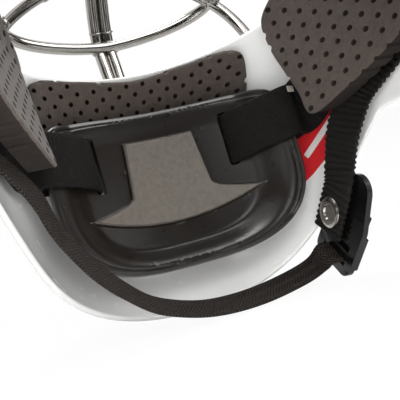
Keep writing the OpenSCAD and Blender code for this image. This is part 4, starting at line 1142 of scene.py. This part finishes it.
def build_cup_elastics():
    run = [(ANCHOR_Y + 8, ANCHOR_Z + 1), (ANCHOR_Y, ANCHOR_Z), (ANCHOR_Y - 8, ANCHOR_Z - 2)]
    depth = WALL + ELASTIC_GAP + WEB_T / 2
    under, wide = on_wall(1, run, depth, CUP_UP_DIR)
    over = on_wall(1, run, depth + (WEB_T + TOUCH), CUP_UP_DIR)[0]
    free = [from_cup(q) for q in ELASTIC_OUT + ELASTIC_BACK]
    path = np.array(over + free + under[::-1])
    across = np.array(wide + [CUP_UP_DIR] * len(free) + wide[::-1])
    for side, word in SIDES:
        flip = np.array([side, 1, 1])
        piece = band(f"cup_elastic_{word}", path * flip, across * flip, ELASTIC_W, ELASTIC,
                     pitch=1.9, rib=0.16)
        stand(under[1] * flip)
        stand(from_cup([SLOT_U, -5, SLOT_V]) * flip)
        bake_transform(piece)
        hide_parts(f"chin_cup_elastic_{word}")


SNAP = np.array([-66.3, -54, 41.3])
SNAP_DOWN = unit([2, -1.7, -14.6])
SNAP_SIDE = unit(np.array([0, 1, 0]) - SNAP_DOWN[1] * SNAP_DOWN)
SNAP_OUT = np.cross(SNAP_SIDE, SNAP_DOWN)
BUCKLE_LEAN, SOCKET, BAR_AT, SLOTS_AT = 8.0, np.array([8.0, 0.0]), -14.7, (-18.6, -10.8)
BUCKLE_OFF = WEB_T / 2 + TOUCH + 0.8 + TOUCH
BUCKLE_X = -sind(BUCKLE_LEAN) * SNAP_DOWN - cosd(BUCKLE_LEAN) * SNAP_SIDE
BUCKLE_Y = sind(BUCKLE_LEAN) * SNAP_SIDE - cosd(BUCKLE_LEAN) * SNAP_DOWN
STRAP_DEPTH = WALL + 1.1 + WEB_T / 2
FORE = np.array([0, 1, 0])
SNAP_STRAP_W, CHIN_STRAP_W = 20.0, 15.0


def from_buckle(x, y, z):
    return (SNAP + (BUCKLE_OFF + z) * SNAP_OUT + (x - SOCKET[0]) * BUCKLE_X
            + (y - SOCKET[1]) * BUCKLE_Y)


def build_chin_straps():
    run = [(-56, 130), (-57, 121), (-57.5, 112)]
    free = [[-84.5, -60, 99], [-79.5, -59.5, 91], [-73.5, -57, 78], [-71, -55, 66],
            SNAP - 14 * SNAP_DOWN, SNAP, SNAP + 11 * SNAP_DOWN]
    sewn, wide = on_wall(-1, run, STRAP_DEPTH, FORE)
    turn = [[mix(-0.3, 0, min(i / 4, 1)), 1, 0] for i in range(len(free))]
    piece = band("snap_strap_webbing", sewn + free, wide + turn, SNAP_STRAP_W, RIBBED,
                 pitch=3.0, rib=1.15, ruffle=0.5)
    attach(piece, "root")
    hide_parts("snap_strap")

    run = [(-46, 130), (-47, 121), (-47, 113)]
    free = [[79, -45, 88], [72, -45, 72], [65, -45, 60], [56.5, -45, 48], [46.5, -45, 37],
            [33, -45, 25.5], [16, -45, 18], [0, -45, 14.5], [-20, -46, 13.5], [-42, -49, 14.5],
            [-56, -52, 16.5]]
    lock = [(0, SLOTS_AT[0] - 0.4, -5), (0, SLOTS_AT[0], 0.5), (0, SLOTS_AT[0] + 0.1, 3.4),
            (0, SLOTS_AT[0] + 1.8, 6.2), (0, BAR_AT + 1, 7.4), (0, BAR_AT + 7, 7.9),
            (0, BAR_AT + 20, 8.2)]
    sewn, wide = on_wall(1, run, STRAP_DEPTH, FORE)
    turn = [[mix(0.45, 0, min(max((i - 3) / 4, 0), 1)), 1, 0] for i in range(len(free))]
    piece = band("chin_strap_webbing", sewn + free + [from_buckle(*q) for q in lock],
                 wide + turn + [-BUCKLE_X] * len(lock), CHIN_STRAP_W, TWILL)
    stand(np.array([-20, -46, 13.5]))
    stand(from_buckle(0, SLOTS_AT[0], 0))
    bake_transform(piece)
    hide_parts("chin_strap")


# Back plate
VENT_R, VENT_IN, VENT_L, VENT_TILT = 3, 10.0, 20, 16
FOAM_IN, FOAM_OFF, PLATE_FOAM_T = 9, 1.1, 9.0


def plate_outline(trim):
    h, v = PLATE_TOP - PLATE_LOW, PLATE_HALF_W - trim
    return loop_spline(mirrored([
        [0, PLATE_TOP - trim], [0.6 * v, PLATE_TOP - trim - 3], [v - 4, PLATE_TOP - trim - 18],
        [v, PLATE_TOP - 46], [0.9 * v, PLATE_LOW + 0.44 * h], [0.74 * v, PLATE_LOW + 0.17 * h],
        [0.5 * v, PLATE_LOW + trim + 3], [0, PLATE_LOW + trim]]), 10)


def vent(side, z):
    """A slanting slot with round ends, on one side of the plate's middle."""
    a = np.array([side * VENT_IN, z])
    b = a + VENT_L * np.array([side * cosd(VENT_TILT), sind(VENT_TILT)])
    g = math.degrees(math.atan2(b[1] - a[1], b[0] - a[0]))
    return even(np.concatenate([arc(b, VENT_R, g + np.arange(-90, 91, 20)),
                                arc(a, VENT_R, g + np.arange(90, 271, 20))]), 1.0)


def build_back_plate():
    piece = slab("back_plate_moulding", plate_outline(0),
                 lambda p, h: plate_point(p[:, 0], p[:, 1], h), PLATE_T, [PLATE], 1.2,
                 through=[vent(side, z) for z in (118, 134, 150, 166) for side in (-1, 1)],
                 pitch=5)
    on_ground(piece)
    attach(piece, "back_plate")
    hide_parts("backplate")
    outline = plate_outline(FOAM_IN)
    piece = slab("back_plate_foam_punched", outline,
                 lambda p, h: plate_point(p[:, 0], p[:, 1], -FOAM_OFF - h), PLATE_FOAM_T,
                 [FOAM, FOAM_CUT_AND_HOLE_SHADE], holes=punched(outline))
    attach(piece, "back_plate")
    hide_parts("backplate_pad")


# Turn of each harness strap round the shell's back edge, and where it meets the plate
ROUNDS = (90.0, 40.0, 140.0, -1.0, 181.0)
PLATE_ENDS = ((0, PLATE_TOP - 13), (PLATE_HALF_W - 14, PLATE_TOP - 32),
              (14 - PLATE_HALF_W, PLATE_TOP - 32), (0.66 * PLATE_HALF_W, PLATE_LOW + 38),
              (-0.66 * PLATE_HALF_W, PLATE_LOW + 38))
STRAP_LIFT, EDGE_LIFT, RIM_LIFT, HARNESS_W = 1.7, 0.8, 0.4, 22.0
# How far the strap's hold lies inside the shell's edge, in degrees, and inside the plate's rim
EDGE_IN, TAIL_IN, RIM_OUT = 9.0, 5, 15
STRAPS = ("top_strap", "upper_strap_left", "upper_strap_right", "lower_strap_left",
          "lower_strap_right")


def plate_normal(x, z):
    return unit(np.cross(plate_point(x, z + 0.5, 0) - plate_point(x, z - 0.5, 0),
                         plate_point(x + 0.5, z, 0) - plate_point(x - 0.5, z, 0)))


def harness_path(k):
    x, z = PLATE_ENDS[k]
    n = plate_normal(x, z)
    lift = STRAP_LIFT + WEB_T / 2

    def cone(back):
        return cone_dir(BACK_CONE - back, ROUNDS[k])

    out = shell_normal(cone(EDGE_IN))
    b = plate_point(x, z, PLATE_T) + n * lift
    f = on_shell(cone(0))
    edge = f + shell_normal(cone(1)) * (lift + EDGE_LIFT)
    g = unit([f[0] - x, f[2] - z])
    rim = plate_point(x + g[0] * RIM_OUT, z + g[1] * RIM_OUT, PLATE_T) + n * (lift + RIM_LIFT)
    path = [on_shell(cone(EDGE_IN + TAIL_IN)) + out * lift, on_shell(cone(EDGE_IN)) + out * lift,
            edge]
    path += [mix(edge, rim, t) for t in (0.2, 0.4, 0.6, 0.8)]
    path = np.array(path + [rim, b, b + (b - rim) * 0.5])
    t = unit(np.concatenate([path[1:2] - path[:1], path[2:] - path[:-2], path[-1:] - path[-2:-1]]))
    o = unit(mix(out, n, smooth((np.arange(len(path)) - 2) / 3)[:, None]))
    return path, unit(np.cross(o, t))


def build_harness():
    for k, name in enumerate(STRAPS):
        path, across = harness_path(k)
        piece = band(name + "_elastic", path, across, HARNESS_W, ELASTIC, pitch=2.2, rib=0.14)
        stand(path[1])
        stand(path[8])
        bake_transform(piece)
        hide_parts(name)


# Patch inside the wearer's right cheek, and the tag sewn to the right elastic
RED = [[-97, 74], [-98, 58], [-90, 44], [-85, 42], [-79, 51], [-71, 68], [-67, 80], [-74, 88],
       [-90, 82]]
BAR_LOW, BAR_HIGH, BAR_HALF = np.array([-86.0, 58.5]), np.array([-75.5, 86.0]), 1.7
# The tag in the cup's frame, on the elastic's slope: its outline, and height and fall at a u
TAG_BOX, TAG_U, TAG_H, TAG_FALL = [[63, 28.5], [68, 28.5], [68, 31.5], [63, 31.5]], 64, 14, 0.45


def build_patches():
    def on_right_wall(lift):
        return beside(-1, lambda p, h: wall_x(p, WALL + lift + h))

    piece = slab("vinyl_patch_red", RED, on_right_wall(0.05), 0.16, [VINYL_RED], 0.08)
    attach(piece, "root")
    wide = unit(BAR_HIGH - BAR_LOW)[::-1] * [-BAR_HALF, BAR_HALF]
    piece = slab("vinyl_patch_bar",
                 [BAR_LOW - wide, BAR_LOW + wide, BAR_HIGH + wide, BAR_HIGH - wide],
                 on_right_wall(0.22), 0.1, [VINYL_WHITE], 0.05)
    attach(piece, "root")

    def on_elastic(p, h):
        return from_cup(points(p[:, 0], TAG_H - TAG_FALL * (p[:, 0] - TAG_U) + h,
                               p[:, 1])) * [-1, 1, 1]

    piece = slab("elastic_tag", TAG_BOX, on_elastic, 0.4, [TAG], 0.1)
    stand(np.array([-88, -80, 100]))
    stand(from_cup([SLOT_U, -5, SLOT_V]) * [-1, 1, 1])
    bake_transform(piece)


# Finishes on the parts that come from the model as they are
LOOKS = (
    (CLIP, "cage_clips"), (NICKEL, "snap_stud"),
    (ZINC, "clip_screws clip_t_nuts elastic_rivets chin_strap_rivet snap_strap_rivet"
           " harness_rivets backplate_rivets"),
    (ACETAL, "snap_buckle top_slider upper_slider_left upper_slider_right lower_slider_left"
             " lower_slider_right"),
)
# In metres and degrees
BEVEL_W, BEVEL_FROM, WELD_GAP = 0.00035, 35, 1e-5


def dress_nodes():
    for look, names in LOOKS:
        for name in names.split():
            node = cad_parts[name]
            for s in node.material_slots:
                s.material = look
            node.modifiers.new("join", "WELD").merge_threshold = WELD_GAP
            edge = node.modifiers.new("edges", "BEVEL")
            edge.width = BEVEL_W
            edge.segments = 2
            edge.limit_method = "ANGLE"
            edge.angle_limit = math.radians(BEVEL_FROM)
            edge.harden_normals = True


# Floor, backdrop, black cards and lights, in metres and watts
ROOM, SEEN_ROOM, FLOOR_GLOW, FLOOR_HALF, FLOOR_DROP = 0.45, 1.0, 0.94, 4, 0.0005
# Each lamp's name, place, aim, width and power
LAMPS = (
    ("key", (0.3, 1.05, 0.9), (0, -0.05, 0.08), 0.6, 5),
    ("fill", (-1.2, 0.3, 0.8), (0, 0, 0.1), 1.2, 2.5),
    ("front", (0.2, -1.4, 0.9), (0, 0, 0.1), 1.0, 2.5),
    # Small and soft, held in the head's place, as the inside is lit for a picture
    ("inside", (0.035, 0.06, 0.07), (0.045, -0.1, 0.02), 0.15, 0.26),
    ("above", (-0.04, -0.1, 0.19), (0, -0.14, 0.03), 0.08, 0.06),
    ("window", (-0.15, -0.5, 1.15), (0, -0.1, 0.03), 0.4, 6),
)
# Each card's place on the floor and half width
CARDS = ((1.3, 0.3, 0.6), (-1.3, -0.2, 0.6), (-0.6, 1.4, 0.6), (0.55, 1.35, 0.45))
CARD_LOW, CARD_TOP = 0.02, 1.5


def plain_material(name, tone, roughness):
    mat, tree, shader = new_material(name)
    shader.inputs["Base Color"].default_value = colour(tone)
    shader.inputs["Roughness"].default_value = roughness
    return mat, tree, shader


def sheet(name, corners, mat):
    mesh = bpy.data.meshes.new(name)
    mesh.from_pydata(corners, [], [(0, 1, 2, 3)])
    mesh.materials.append(mat)
    return add_object(name, mesh)


def build_stage():
    paper, tree, shader = plain_material("Floor_White_Paper", "#F4F4F4", 0.9)
    share = calc(tree, "MULTIPLY", add(tree, "LightPath").outputs["Is Camera Ray"], FLOOR_GLOW)
    glow = add(tree, "Emission", {"Color": (1, 1, 1, 1), "Strength": 1.0})
    both = add(tree, "MixShader", {0: share, 1: shader.outputs[0], 2: glow.outputs[0]})
    tree.links.new(both.outputs[0], tree.nodes["Material Output"].inputs["Surface"])
    floor = sheet("floor", [(x * FLOOR_HALF, y * FLOOR_HALF, 0)
                            for x, y in ((-1, -1), (1, -1), (1, 1), (-1, 1))], paper)
    floor.location.z = -FLOOR_DROP

    world = bpy.data.worlds.new("studio")
    bpy.context.scene.world = world
    world.use_nodes = True
    tree = world.node_tree
    # The room that the camera, glossy and clear surfaces see is brighter than what it lights
    rays = add(tree, "LightPath").outputs
    seen = calc(tree, "MAXIMUM", rays["Is Camera Ray"], rays["Is Glossy Ray"])
    seen = calc(tree, "MAXIMUM", seen, rays["Is Transmission Ray"])
    level = add(tree, "MapRange", {"Value": seen, "To Min": ROOM, "To Max": SEEN_ROOM})
    tree.links.new(level.outputs[0], tree.nodes["Background"].inputs["Strength"])
    tree.nodes["Background"].inputs["Color"].default_value = (1, 1, 1, 1)

    for name, place, aim, size, watts in LAMPS:
        data = bpy.data.lights.new(name, "AREA")
        data.shape = "DISK"
        data.size = size
        data.energy = watts
        lamp = add_object(name, data)
        lamp.location = place
        lamp.rotation_euler = (Vector(aim) - Vector(place)).to_track_quat("-Z", "Y").to_euler()
        lamp.visible_camera = False
        lamp.visible_glossy = name != "inside"

    # Black cards beside the set, as a studio draws the edges of bright metal
    velvet = plain_material("Card_Black_Velvet", "#000000", 1.0)[0]
    for k, (x, y, w) in enumerate(CARDS):
        across = unit([-y, x, 0]) * w
        corners = ((-1, CARD_LOW), (1, CARD_LOW), (1, CARD_TOP), (-1, CARD_TOP))
        card = sheet(f"card_{k}", [tuple(np.array([x, y, z]) + n * across) for n, z in corners],
                     velvet)
        card.visible_camera = card.visible_diffuse = card.visible_shadow = False


set_camera()
build_stage()
build_shell()
build_cage()
build_lining()
build_cup()
build_cup_elastics()
build_chin_straps()
build_back_plate()
build_harness()
build_patches()
dress_nodes()
bpy.context.scene.view_settings.view_transform = "Standard"
bpy.context.view_layer.update()
